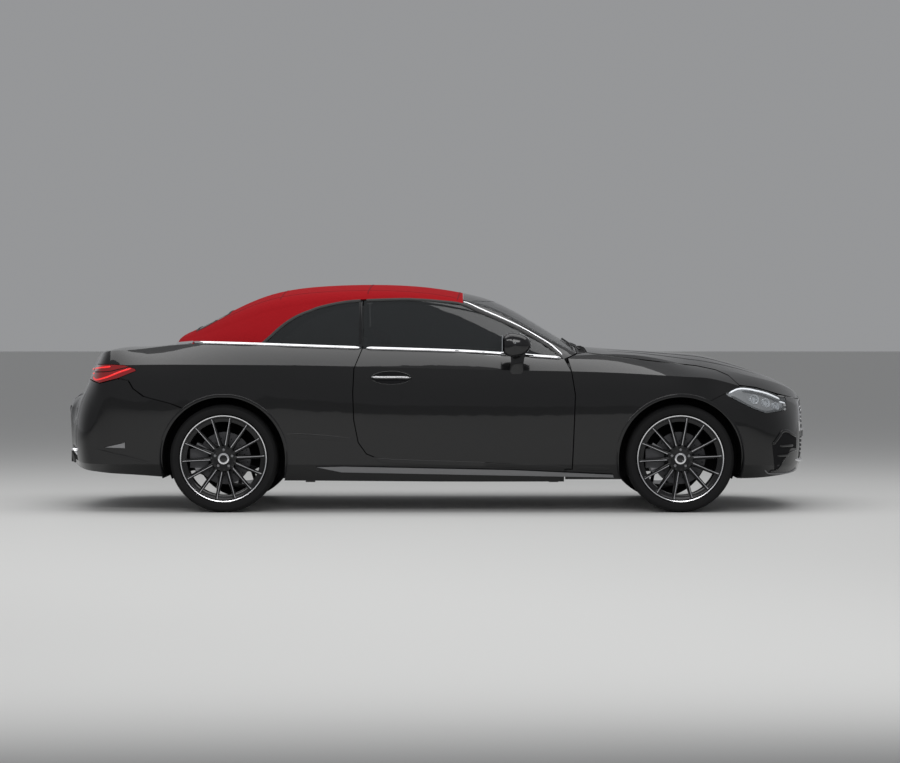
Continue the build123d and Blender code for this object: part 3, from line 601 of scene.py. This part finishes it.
def wheel_parts(spokes=14):
    """The parts of a wheel at the origin, with their looks and slots. Outboard is -Y."""
    half_tyre = [(0.255, 0.101), (0.2725, 0.101), (0.283, 0.115), (0.300, 0.1215), (0.318, 0.119),
                 (0.331, 0.106), (0.3365, 0.090)]
    profile = list(half_tyre)
    for groove in (0.066, 0.022, -0.022, -0.066):
        profile += [(TYRE_RADIUS, groove + 0.006), (TYRE_RADIUS - GROOVE_DEPTH, groove + 0.004)]
        profile += [(TYRE_RADIUS - GROOVE_DEPTH, groove - 0.004), (TYRE_RADIUS, groove - 0.006)]
    profile += [(r, -o) for r, o in reversed(half_tyre)]
    barrel = lathe([(0.244, 0.110), (0.272, 0.110), (0.272, 0.102), (0.254, 0.100), (0.250, 0.03),
                    (0.236, -0.05), (0.240, -0.098), (0.262, -0.103), (0.272, -0.1105), (0.258, -0.1095),
                    (0.250, -0.100), (0.232, -0.094), (0.228, -0.05), (0.240, 0.03)], steps=144)
    ring = lathe([(0.2625, -0.1065), (0.2650, -0.1098), (0.2712, -0.1118), (0.2718, -0.1085),
                  (0.2625, -0.1045)], steps=144)
    hub = lathe([(0, -0.060), (0.078, -0.060), (0.086, -0.074), (0.078, -0.090), (0.050, -0.094),
                 (0.036, -0.088), (0, -0.088)], steps=72)
    cap_ring = lathe([(0.024, -0.088), (0.024, -0.102), (0.027, -0.104), (0.035, -0.102), (0.0365, -0.088)],
                     steps=64)
    cap = lathe([(0, -0.101), (0.020, -0.1005), (0.0242, -0.0985), (0.0242, -0.088), (0, -0.088)], steps=48)
    bolt = lathe([(0, -0.101), (0.008, -0.101), (0.0105, -0.098), (0.0105, -0.084), (0, -0.084)], steps=6)
    disc = lathe([(0.088, -0.0125), (0.164, -0.0125), (0.165, -0.011), (0.165, 0.011), (0.164, 0.0125),
                  (0.088, 0.0125)])
    hat = lathe([(0.045, -0.060), (0.080, -0.060), (0.088, -0.052), (0.088, 0.010), (0.070, 0.010),
                 (0.070, -0.04), (0.045, -0.04)], steps=72)
    hole = lathe([(0, -0.0132), (0.0042, -0.0132), (0.0042, -0.0120), (0, -0.0120)], steps=10)
    bodies, edges = zip(*[spoke(radians(3 + k * 360 / spokes)) for k in range(spokes)])
    return {
        "tyre": (lathe(profile, steps=144), tyre_rubber, "tyre"),
        "rim": (merged([barrel, hub, *bodies]), rim_black, "rim_black"), "rim_edge": (ring, polished, None),
        "spoke_edges": (merged(edges), brushed, None), "hub_ring": (cap_ring, chrome, "chrome_trim"),
        "hub_cap": (cap, gloss, None), "bolts": (round_pattern(5, lambda k: 0.056, bolt, 0.3), satin, None),
        "disc": (merged([disc, hat]), iron, "cast_iron"),
        # the drilled holes are thin matte black discs on the disc face: painted shade for holes
        "disc_holes": (round_pattern(36, lambda k: (0.108, 0.126, 0.146)[k % 3], hole), dark, None),
    }


WHEEL = wheel_parts()
NODE_OF_PART = {"tyre": "tyre", "rim": "rim", "disc": "brake_disc"}
CALIPER = lathe([(0.108, -0.047), (0.195, -0.047), (0.199, -0.043), (0.199, 0.046), (0.108, 0.046),
                 (0.108, 0.022), (0.172, 0.022), (0.172, -0.020), (0.108, -0.020)], steps=18,
                arc=(radians(150), radians(208)))
for end, x in AXLES:
    for side, sign in SIDES.items():
        place = at_wheel(x, sign)
        for kind, (part, look, slot) in WHEEL.items():
            stands = (f"{NODE_OF_PART[kind]}_{end}_{side}",) if kind in NODE_OF_PART else ()
            piece(f"{kind}_{end}_{side}_visual", *place(part), look, f"wheel_{end}_{side}", replace=stands,
                  slot=slot, sharp=32)
        # a caliper steers with its knuckle but doesn't spin
        holder = f"knuckle_{side}" if end == "front" else "body"
        piece(f"caliper_{end}_{side}_visual", *place(CALIPER), satin, holder, bevel=0.003, slot="cast_iron")

# ---- headlamps
LAMP_TOP = [(1.812, 0.747), (1.901, 0.786), (2.010, 0.775), (2.090, 0.754), (2.180, 0.718)]
LAMP_LOW = [(1.850, 0.722), (1.900, 0.694), (1.979, 0.652), (2.069, 0.622), (2.150, 0.630), (2.212, 0.650)]
lamp_tree = tree(["headlamps"])
top_line = [(x, z - 0.010) for x, z in smooth_line(LAMP_TOP, 50) if x > 1.83]
brow_line = [(x, z - 0.014) for x, z in top_line if x > 1.92]
rim_line = [(x, z + 0.012) for x, z in smooth_line(LAMP_LOW, 50)]
second_line = [(2.178, 0.692), (2.196, 0.688), (2.212, 0.682)]
for name, line, inset, width, depth, taper, look in (
        ("light_bar", top_line, 0.006, 0.010, 0.008, 0.05, light_bar),
        ("brow", brow_line, 0.014, 0.012, 0.006, 0.05, lamp_body),
        ("lower_rim", rim_line, 0.014, 0.014, 0.008, 0.05, lamp_body),
        ("second_bar", second_line, 0.006, 0.008, 0.006, 0, light_bar)):
    pts, nrm = on_side(line, lamp_tree)
    pts = [p - n * inset for p, n in zip(pts, nrm)]
    both(f"headlamp_{name}", bar(pts, nrm, width, depth, taper=taper), look)
shell_low = [(x, z + 0.004) for x, z in smooth_line(LAMP_LOW, 30)]
shell_high = [(x, z - 0.008) for x, z in smooth_line(LAMP_TOP[:-1] + [(2.205, 0.700)], 30)]
both("headlamp_reflector", patch(shell_low, shell_high, 8, -0.016, lamp_tree), lamp_silver)
units = []
for cx, cz, r in ((2.000, 0.712, 0.030), (2.080, 0.690, 0.030), (2.150, 0.668, 0.026)):
    h, n = side_at(cx, cz, lamp_tree)
    spin = Vector((0, 0, 1)).rotation_difference(n).to_matrix()
    v, f = lathe([(0, 0.010), (r * 0.45, 0.006), (r * 0.72, -0.006), (r * 0.75, 0), (r * 0.80, 0.014),
                  (r, 0.016), (r * 1.02, 0.010), (r * 1.02, -0.012), (0, -0.012)], steps=36, axis="Z")
    units.append(([h - n * 0.020 + spin @ p for p in v], f))
both("headlamp_units", merged(units), lens)
side_bar("headlamp_top_edge", smooth_line(LAMP_TOP, 50), 0.006, 0.0015, gloss, lamp_tree)

# ---- tail lamps
tail_tree = tree(["tail_lamps"])
LINES = [[(-2.165, 0.903), (-2.110, 0.908), (-2.045, 0.915)],
         [(-2.182, 0.856), (-2.148, 0.832), (-2.072, 0.848), (-1.985, 0.882), (-1.915, 0.904)],
         [(-2.170, 0.880), (-2.060, 0.884), (-1.990, 0.899), (-1.925, 0.912)]]
for k, (line, width, look) in enumerate(zip(LINES, (0.010, 0.010, 0.006), (red_glow, red_glow, dark))):
    pts, nrm = on_side(smooth_line(line, 40), tail_tree, deepest=-0.5)
    both(f"tail_lamp_line_{k}", bar(pts, nrm, width, 0.002, taper=0.08), look)
for k, (z, look) in enumerate(((0.902, red_glow), (0.870, red_glow), (0.848, red_lamp))):
    pts, nrm = found(rear_at(-0.575 - 0.011 * i, z, tail_tree) for i in range(16))
    both(f"tail_lamp_rear_bar_{k}", bar(pts, nrm, 0.010, 0.0025, taper=0.08), look)

lid_tree = tree(["boot_lid"])
pts, nrm = across_rear(0.525, 0.893, lid_tree)
piece("boot_lid_lamp_strip", *bar(pts, nrm, 0.030, 0.004, taper=0.03), red_lamp, "boot_lid", slot="lamp_red")
raised = [p + n * 0.0035 for p, n in zip(pts, nrm)]
piece("boot_lid_lamp_line", *bar(raised, nrm, 0.007, 0.0015, taper=0.03), red_glow, "boot_lid")
piece("high_brake_lamp", *bar(*across_rear(0.30, 0.965, lid_tree), 0.008, 0.002, taper=0.05), red_lamp,
      "boot_lid", slot="lamp_red")

# ---- boot lid and the tail's slope below it
LEDGE_FACE = -2.335                             # what lies behind this isn't the lid's
SLOPE_X, SLOPE_Z, SLOPE = -2.394, 0.660, 0.768  # a point of the slope above the bumper, and its run per rise


def cut_copy(name, node, body, point, normal):
    """Stands for a node: its own mesh without what lies behind a plane."""
    me = nodes[node].data.copy()
    me.name = name
    bm = bmesh.new()
    bm.from_mesh(me)
    bmesh.ops.bisect_plane(bm, geom=bm.verts[:] + bm.edges[:] + bm.faces[:], plane_co=point, plane_no=normal,
                           clear_inner=True)
    bm.to_mesh(me)
    bm.free()
    obj = linked(name, me)
    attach(obj, body)
    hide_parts(node)


def lid_skirt(half, z_low, z_high, z_from, columns=24, rows=4, wall=0.003):
    """The lid's skin carried on down to the shut line, over its middle, as it runs just above z_from."""
    lines, rise = [], 0.016
    for i in range(columns + 1):
        y = -half + 2 * half * i / columns
        near, far = (rear_at(y, z, lid_tree)[0] for z in (z_from, z_from + rise))
        lines.append((y, near.x, (far.x - near.x) / rise))
    heights = [z_low + (z_high - z_low) * j / rows for j in range(rows + 1)]
    verts = [Vector((x - 0.0006 + back + run * (z - z_from), y, z))
             for back in (0.0, wall) for z in heights for y, x, run in lines]
    n, layer = columns + 1, (columns + 1) * (rows + 1)
    faces = net(rows + 1, n)
    faces += [tuple(k + layer for k in reversed(f)) for f in faces]
    edge = list(range(n)) + [j * n + columns for j in range(1, rows + 1)]
    edge += [rows * n + i for i in range(columns - 1, -1, -1)] + [j * n for j in range(rows - 1, 0, -1)]
    return verts, faces + [(a, b, b + layer, a + layer) for a, b in zip(edge, edge[1:] + edge[:1])]


cut_copy("boot_lid_panel", "boot_lid", "boot_lid", (LEDGE_FACE, 0, 0), (1, 0, 0))
cut_copy("rear_bumper_shell", "rear_bumper", "body", (SLOPE_X, 0, SLOPE_Z), (1, 0, -SLOPE))
piece("boot_lid_skirt", *lid_skirt(0.135, 0.745, 0.781, 0.782), paint, "boot_lid", slot="black_paint")

# ---- rear bumper
bumper_tree = tree(["rear_bumper", "rear_body"])


def eased(grid):
    """Each value inside a grid drawn towards its four neighbours."""
    out = [row[:] for row in grid]
    for j in range(1, len(grid) - 1):
        for i in range(1, len(grid[0]) - 1):
            around = grid[j - 1][i] + grid[j + 1][i] + grid[j][i - 1] + grid[j][i + 1]
            out[j][i] = (4 * grid[j][i] + 2 * around) / 12
    return out


def greater(one, other):
    """The greater one of each pair of values in two grids."""
    return [[max(a, b) for a, b in zip(r, q)] for r, q in zip(one, other)]


def rear_cover(y_to, z_low, z_high, ny, nz, rounds):
    """A painted face over the middle of the bumper: its own surface, eased and held outside of it."""
    ys = [-y_to + 2 * y_to * i / ny for i in range(ny + 1)]
    zs = [z_low + (z_high - z_low) * j / nz for j in range(nz + 1)]
    depth = []
    for z in zs:
        row = []
        for y in ys:
            h, _ = rear_at(y, z, bumper_tree)
            row.append(max(h.x, SLOPE_X + SLOPE * (z - SLOPE_Z)) if h is not None else row[-1])
        depth.append(row)
    soft = depth
    for _ in range(rounds):
        soft = eased(soft)
    short = [[max(0.0, a - b) for a, b in zip(r, q)] for r, q in zip(soft, depth)]
    push = short
    for _ in range(rounds):
        push = greater(eased(push), short)
    push = eased(eased(push))
    verts = []
    for j, z in enumerate(zs):
        for i, y in enumerate(ys):
            rim = min(1.0, min(i, ny - i, j, nz - j) / 3)
            verts.append(Vector((soft[j][i] - push[j][i] - 0.0005 - 0.0015 * rim, y, z)))
    beside_tips = {k for k, v in enumerate(verts) if abs(v.y) > 0.488 and v.z < 0.408}
    return verts, [f for f in net(nz + 1, ny + 1) if beside_tips.isdisjoint(f)]


cover = rear_cover(0.66, 0.300, 0.741, 110, 40, 60)
piece("rear_bumper_face", *cover, paint, slot="black_paint", sharp=60)
bumper_tree = BVHTree.FromPolygons(*cover)
for name, half, z, width, depth, look, slot in (
        ("rear_diffuser_band", 0.475, 0.330, 0.080, 0.006, plastic, "black_plastic"),
        ("rear_chrome_line", 0.480, 0.376, 0.012, 0.009, chrome, "chrome_trim")):
    piece(name, *bar(*across_rear(half, z, bumper_tree), width, depth, taper=0.05), look, slot=slot)
for k in (-3, -1, 1, 3):
    x, y = rear_at(k * 0.09, 0.33, bumper_tree)[0].x, k * 0.09
    blocks(f"diffuser_fin_{k + 3}", plastic, ((x - 0.010, y - 0.004, 0.292), (x + 0.03, y + 0.004, 0.360)),
           bevel=0.001)
piece("number_plate_holder", *bar(*across_rear(0.26, 0.60, bumper_tree, count=40), 0.115, 0.007), plastic,
      slot="black_plastic")
vent_low = [(-2.090 + 0.136 * i / 14, 0.404 - 0.0002 * i) for i in range(15)]
vent_high = [(x, z + 0.004 + 0.034 * i / 14) for i, (x, z) in enumerate(vent_low)]
both("rear_corner_vent", patch(vent_low, vent_high, 4, 0.002), satin)
side_bar("rear_corner_vent_rim", [vent_low[0]] + vent_high + vent_low[::-1], 0.006, 0.003, gloss,
         slot="gloss_black_plastic")
line = smooth_line([(-2.143, 0.396), (-2.055, 0.371), (-1.929, 0.342), (-1.772, 0.301)], 50)
side_bar("rear_bumper_crease", line, 0.018, 0.0035, paint, slot="black_paint", taper=0.2)

TIP_Y, TIP_Z = 0.575, 0.358


def tip_parts(sign, steps=48):
    """A flat exhaust end cut at a slant, with a wall, open at its front end."""
    verts = []
    for grow, forward in ((0.0, 0.075), (0.0, 0.0), (-0.003, -0.003), (-0.007, 0.0), (-0.007, 0.070)):
        for k in range(steps):
            c, s = cos(tau * k / steps), sin(tau * k / steps)
            r = (abs(c) ** 5 + abs(s) ** 5) ** -0.2
            y, z = (0.074 + grow) * r * c, (0.040 + grow) * r * s
            verts.append(Vector((-2.293 - 0.031 * z / 0.040 + forward, sign * TIP_Y + y, TIP_Z + z)))
    return verts, net(5, steps, wrap_columns=True)


piece("exhaust_tips", *merged([tip_parts(-1), tip_parts(1)]), polished, replace=("exhaust",), sharp=50)
# matte black plates inside the tips: painted shade in the pipes
throats = [((-2.232, y - 0.064, 0.324), (-2.226, y + 0.064, 0.392)) for y in (-TIP_Y, TIP_Y)]
blocks("exhaust_throats", dark, *throats)
blocks("silencer", satin, ((-1.545, -0.378, 0.206), (-1.271, 0.378, 0.299)), bevel=0.030)
pipes = [smooth_line([(-1.53, sign * 0.30, 0.262), (-1.75, sign * 0.36, 0.262), (-1.98, sign * 0.52, 0.31),
                      (-2.22, sign * TIP_Y, 0.355)], 30) for sign in (-1, 1)]
piece("exhaust_pipes", *merged([tube(pipe, 0.026) for pipe in pipes]), satin)

# ---- front bumper
skin_tree = tree(["front_bumper", "bonnet", "front_wings", "headlamps"])
grille_tree = tree(["grille"])


def at_front(line, which, lowest_x=FRONT_FACE):
    """Points and normals of the front face along a line of (y, z)."""
    return found(front_at(y, z, which, lowest_x) for y, z in line)


frame_line = [(-0.12, 0.694), (0.12, 0.694), (0.394, 0.677), (0.437, 0.560), (0.386, 0.500), (0, 0.498),
              (-0.386, 0.500), (-0.437, 0.560), (-0.394, 0.677), (-0.12, 0.694)]
dense = [(ya + (yb - ya) * i / 10, za + (zb - za) * i / 10)
         for (ya, za), (yb, zb) in zip(frame_line, frame_line[1:]) for i in range(10)]
pts, nrm = at_front(dense, skin_tree)
piece("grille_frame", *bar(pts, nrm, 0.014, 0.005, closed=True), chrome, slot="chrome_trim")
pts, nrm = at_front([(-0.42 + 0.84 * i / 60, 0.590) for i in range(61)], grille_tree, 2.0)
sunk = [p - n * 0.004 for p, n in zip(pts, nrm)]
piece("grille_bar", *bar(sunk, nrm, 0.022, 0.010, taper=0.03), chrome, slot="chrome_trim")
h, _ = probe(grille_tree, (3, 0, 0.602), (-1, 0, 0), (0, 0.004, 0.002), lambda p: p.x > 2)
boss = {"origin": (h.x - 0.004, 0, 0.592), "axis": "X", "steps": 48}
boss_face = [(0, 0.005), (0.050, 0.004), (0.058, 0.002), (0.060, -0.006), (0, -0.006)]
boss_ring = [(0.056, 0.007), (0.062, 0.005), (0.064, -0.006), (0.056, -0.006)]
piece("grille_boss", *lathe(boss_face, **boss), gloss)
piece("grille_boss_ring", *lathe(boss_ring, **boss), chrome, slot="chrome_trim")
rods = []
for k in range(-13, 14):
    pts, nrm = at_front([(k * 0.029, 0.520 + 0.155 * i / 6) for i in range(7)], grille_tree, 2.0)
    if len(pts) > 3:
        rods.append(bar(pts, nrm, 0.004, 0.003))
piece("grille_uprights", *merged(rods), gloss)
blocks("mouth_posts", gloss, ((2.345, -0.004, 0.500), (2.3965, 0.004, 0.690)),
       ((2.345, -0.004, 0.325), (2.3965, 0.004, 0.448)))
# matte black plates behind the grille and the lower intake: painted shade in the openings
blocks("grille_back", dark, ((2.23, -0.40, 0.50), (2.235, 0.40, 0.685)))
blocks("intake_back", dark, ((2.20, -0.50, 0.325), (2.205, 0.50, 0.448)))

# corner air intakes: a matte black skin laid on the surface under a curved flap, painted shade standing for
# the opening, two fins, and a flange with a lip below
low = smooth_line([(2.135, 0.262), (2.170, 0.272), (2.215, 0.335), (2.243, 0.392), (2.292, 0.390)], 24)
high = smooth_line([(2.112, 0.420), (2.150, 0.462), (2.180, 0.498), (2.215, 0.498), (2.290, 0.462)], 24)
both("corner_intake_shade", patch(low, high, 12, 0.0015, skin_tree), dark)
for k, (x0, x1, z) in enumerate(((2.160, 2.262, 0.413), (2.147, 2.232, 0.352))):
    line = [(x0 + (x1 - x0) * i / 20, z) for i in range(21)]
    side_bar(f"corner_fin_{k}", line, 0.016, 0.009, gloss, skin_tree, "gloss_black_plastic", taper=0.08)
line = smooth_line([(2.112, 0.420), (2.150, 0.466), (2.180, 0.504), (2.215, 0.506), (2.250, 0.487),
                    (2.290, 0.466)], 50)
side_bar("corner_flap", line, 0.020, 0.009, paint, skin_tree, "black_paint", taper=0.06)
low = smooth_line([(2.105, 0.240), (2.180, 0.240), (2.250, 0.244), (2.300, 0.262)], 24)
high = smooth_line([(2.112, 0.256), (2.160, 0.268), (2.225, 0.362), (2.300, 0.384)], 24)
both("corner_flange", patch(low, high, 12, 0.004, skin_tree), paint, slot="black_paint")
side_bar("corner_flange_edge", high, 0.007, 0.006, gloss, skin_tree, "gloss_black_plastic")
line = smooth_line([(2.070, 0.262), (2.100, 0.240), (2.180, 0.236), (2.250, 0.240), (2.305, 0.268)], 40)
side_bar("corner_lip", line, 0.010, 0.008, satin, skin_tree, taper=0.05)
lip = [(-0.62 + 1.24 * i / 60, 0.300 + 0.02 * abs(-1 + i / 30) ** 2) for i in range(61)]
piece("front_lip", *bar(*at_front(lip, skin_tree), 0.020, 0.014, taper=0.05), chrome, slot="chrome_trim")
piece("tow_cover", *lathe([(0, 0.0), (0.015, 0.0), (0.015, -0.012), (0, -0.012)], steps=32, axis="X",
                          origin=(front_at(-0.33, 0.478, skin_tree)[0].x + 0.004, -0.300, 0.478)), paint)

# ---- bonnet, cowl and wipers
for y0, y1 in ((-0.33, -0.22), (-0.52, -0.40)):
    hits = [top_at(1.05 + 1.10 * i / 59, y0 + (y1 - y0) * i / 59) for i in range(60)]
    pts, nrm = found((h, n) for h, n in hits if h is not None and h.z > 0.75)
    rib = bar(pts, nrm, 0.050, 0.003, sides=14, taper=0.25, sink=0.0006)
    both(f"bonnet_rib_{int(-y0 * 100)}", rib, paint, "bonnet", slot="black_paint")
grate = []
for k in range(34):
    y = -0.62 + 1.24 * k / 33
    z = top_at(0.925, y)[0].z
    grate.append(((0.905, y - 0.006, z - 0.006), (0.945, y + 0.006, z + 0.003)))
blocks("cowl_grate", plastic, *grate, slot="black_plastic")
for name, pivot, tip_y in (("right", -0.52, -0.05), ("left", 0.05, 0.52)):
    pivot_z = top_at(0.915, pivot)[0].z
    arm = [(0.915, pivot, pivot_z + 0.006)]
    for t in (0.25, 0.5, 0.75, 1.0):
        x, y = 0.915 - 0.10 * t, pivot + (tip_y - pivot) * t * 0.62
        h, _ = top_at(x, y, house_tree, 0.9)
        arm.append((x, y, (h.z if h is not None else pivot_z) + 0.012))
    piece(f"wiper_arm_{name}", *tube(smooth_line(arm, 24), 0.0045), gloss)
    line = [(0.872 - 0.055 * i / 29, pivot - 0.02 + (tip_y - pivot + 0.10) * i / 29) for i in range(30)]
    pts, nrm = found(top_at(x, y, house_tree, 0.9) for x, y in line)
    pts = [p + n * 0.001 for p, n in zip(pts, nrm)]
    piece(f"wiper_blade_{name}", *bar(pts, nrm, 0.009, 0.008, taper=0.05), seal)


# ---- soft top seams and rear window seal
def over_roof(line, which=top_tree):
    """Points and normals of the roof along a line of (x, y)."""
    return found(top_at(x, y, which, 1.0) for x, y in line)


for k, (xa, half) in enumerate(((0.150, 0.60), (-0.42, 0.625), (-0.98, 0.585))):
    line = [(xa - 0.02 * (abs(i) / 30) ** 2, half * i / 30) for i in range(-30, 31)]
    piece(f"soft_top_seam_{k}", *bar(*over_roof(line), 0.010, 0.0016, taper=0.02), seam_red,
          slot="red_fabric")
line = [(-1.56 + 1.70 * i / 90, -(0.435 + 0.115 * sin(pi * min(1, i / 70) / 2))) for i in range(91)]
both("soft_top_long_seam", bar(*over_roof(line), 0.010, 0.0016, taper=0.02), seam_red, slot="red_fabric")
rim_line = [(-1.551, 0.395 - 0.79 * i / 24) for i in range(25)]
rim_line += [(-1.551 + 0.205 * i / 10, -0.400 + 0.04 * i / 10) for i in range(1, 11)]
rim_line += [(-1.346, -0.355 + 0.71 * i / 22) for i in range(1, 23)]
rim_line += [(-1.346 - 0.205 * i / 10, 0.360 + 0.04 * i / 10) for i in range(1, 10)]
piece("rear_window_seal", *bar(*over_roof(rim_line, house_tree), 0.020, 0.004, closed=True), seal)

# ---- seats, belts and cabin
FRONT_SEAT_Y, REAR_SEAT_Y, BOLSTER = 0.370, 0.225, 0.195
BASE_TILT, BACK_TILT = 4, -24
frames = []
for side, sign in SIDES.items():
    y = sign * FRONT_SEAT_Y
    frames += [((-0.24, y - 0.20, 0.262), (0.32, y + 0.20, 0.345)),
               ((-0.34, y - 0.015, 0.99), (-0.325, y + 0.015, 1.04))]
    parts = {"cushion": cushion((0.105, y, 0.392), (0.235, 0.215, 0.062), BASE_TILT, grooves=6),
             "bolster_in": cushion((0.105, y - BOLSTER, 0.412), (0.225, 0.040, 0.062), BASE_TILT),
             "bolster_out": cushion((0.105, y + BOLSTER, 0.412), (0.225, 0.040, 0.062), BASE_TILT),
             "back": cushion((-0.246, y, 0.735), (0.062, 0.205, 0.300), BACK_TILT),
             "back_bolster_in": cushion((-0.222, y - BOLSTER, 0.700), (0.070, 0.042, 0.250), BACK_TILT),
             "back_bolster_out": cushion((-0.222, y + BOLSTER, 0.700), (0.070, 0.042, 0.250), BACK_TILT),
             "headrest": cushion((-0.405, y, 1.095), (0.042, 0.115, 0.078), -14, power=0.6)}
    for name, part in parts.items():
        piece(f"seat_{name}_{side}", *part, leather, slot="black_leather")
blocks("seat_frames", plastic, *frames, bevel=0.006, replace=("front_seats",))
blocks("rear_bench_base", plastic, ((-1.02, -0.44, 0.302), (-0.72, 0.44, 0.36)), bevel=0.006,
       replace=("rear_seat",))
for side, sign in SIDES.items():
    y = sign * REAR_SEAT_Y
    for name, part in {"cushion": cushion((-0.860, y, 0.420), (0.150, 0.205, 0.062), 5, grooves=5),
                       "back": cushion((-1.105, y, 0.690), (0.058, 0.205, 0.245), -17)}.items():
        piece(f"rear_{name}_{side}", *part, leather, slot="black_leather")
for side, sign in SIDES.items():
    webbing = smooth_line([(-0.43, sign * 0.60, 1.13), (-0.35, sign * 0.59, 1.10),
                           (-0.305, sign * 0.585, 0.90), (-0.27, sign * 0.59, 0.60),
                           (-0.25, sign * 0.60, 0.36)], 40)
    piece(f"belt_{side}", *bar(webbing, [Vector((0.6, -sign * 0.8, 0))] * 40, 0.046, 0.002), belt_red)
guides = [((-0.47, y - 0.015, 1.10), (-0.41, y + 0.015, 1.16)) for y in (-0.60, 0.60)]
blocks("belt_guides", plastic, *guides, bevel=0.006)
blocks("centre_screen", gloss, ((0.555, -0.17, 0.80), (0.562, 0.13, 0.93)), bevel=0.004)
blocks("driver_display", gloss, ((0.585, 0.24, 0.90), (0.592, 0.50, 0.985)), bevel=0.004)
vents = [lathe([(0.038, 0.0), (0.042, -0.006), (0.034, -0.010), (0.030, 0.0)], steps=32, axis="X",
               origin=(0.560, y, 0.85)) for y in (-0.58, -0.27, 0.18, 0.58)]
piece("dash_vents", *merged(vents), satin)

# ---- under the bonnet and in the boot
blocks("engine_cover", plastic, ((1.24, -0.185, 0.760), (1.70, 0.185, 0.790)), bevel=0.012)
ribs = [((x, -0.14, 0.789), (x + 0.03, 0.14, 0.796)) for x in (1.28 + 0.075 * k for k in range(6))]
blocks("engine_cover_ribs", gloss, *ribs, bevel=0.002)
blocks("boot_mat", carpet, ((-2.08, -0.41, 0.4215), (-1.36, 0.41, 0.430)), bevel=0.003)

# ---- floor, light and camera
REACH = 400
corners = [(-REACH, -REACH, 0), (REACH, -REACH, 0), (REACH, REACH, 0), (-REACH, REACH, 0)]
floor = piece("studio_floor", corners, [(0, 1, 2, 3)],
              material("pale_floor", (0.62, 0.62, 0.61), rough=0.6, spec=0.3), smooth=False)
floor.parent = None
world = bpy.data.worlds.new("studio")
scene.world = world
world.use_nodes = True
background = world.node_tree.nodes["Background"].inputs
background["Color"].default_value = (0.80, 0.81, 0.83, 1)
background["Strength"].default_value = 0.38


def area(name, place, target, size, power, seen=True):
    """A soft light aimed at a target; seen says whether the paint mirrors it."""
    data = bpy.data.lights.new(name, "AREA")
    data.shape, data.size, data.size_y, data.energy = "RECTANGLE", size[0], size[1], power
    obj = linked(name, data)
    obj.location = place
    obj.rotation_mode = "QUATERNION"
    obj.rotation_quaternion = (Vector(target) - Vector(place)).to_track_quat("-Z", "Y")
    obj.visible_glossy = seen


area("top_light", (0.0, -0.3, 6.2), (0, 0, 0.4), (11.0, 5.0), 330)
area("key_light", (-1.5, -7.0, 4.6), (0, 0, 0.7), (9.0, 1.3), 170)
area("fill_light", (0.5, -10.0, 2.6), (0, 0, 0.6), (9.0, 3.0), 170, seen=False)

cam_data = bpy.data.cameras.new("camera")
cam_data.lens, cam_data.sensor_width = 102.3, 36.0
cam_data.clip_start, cam_data.clip_end = 0.5, 1000
camera = linked("camera", cam_data)
camera.location = (0.084, -16.92, 1.05)
camera.rotation_mode = "XYZ"
camera.rotation_euler = (radians(90 - 0.817), 0, 0)
scene.camera = camera
scene.view_settings.view_transform = "Standard"
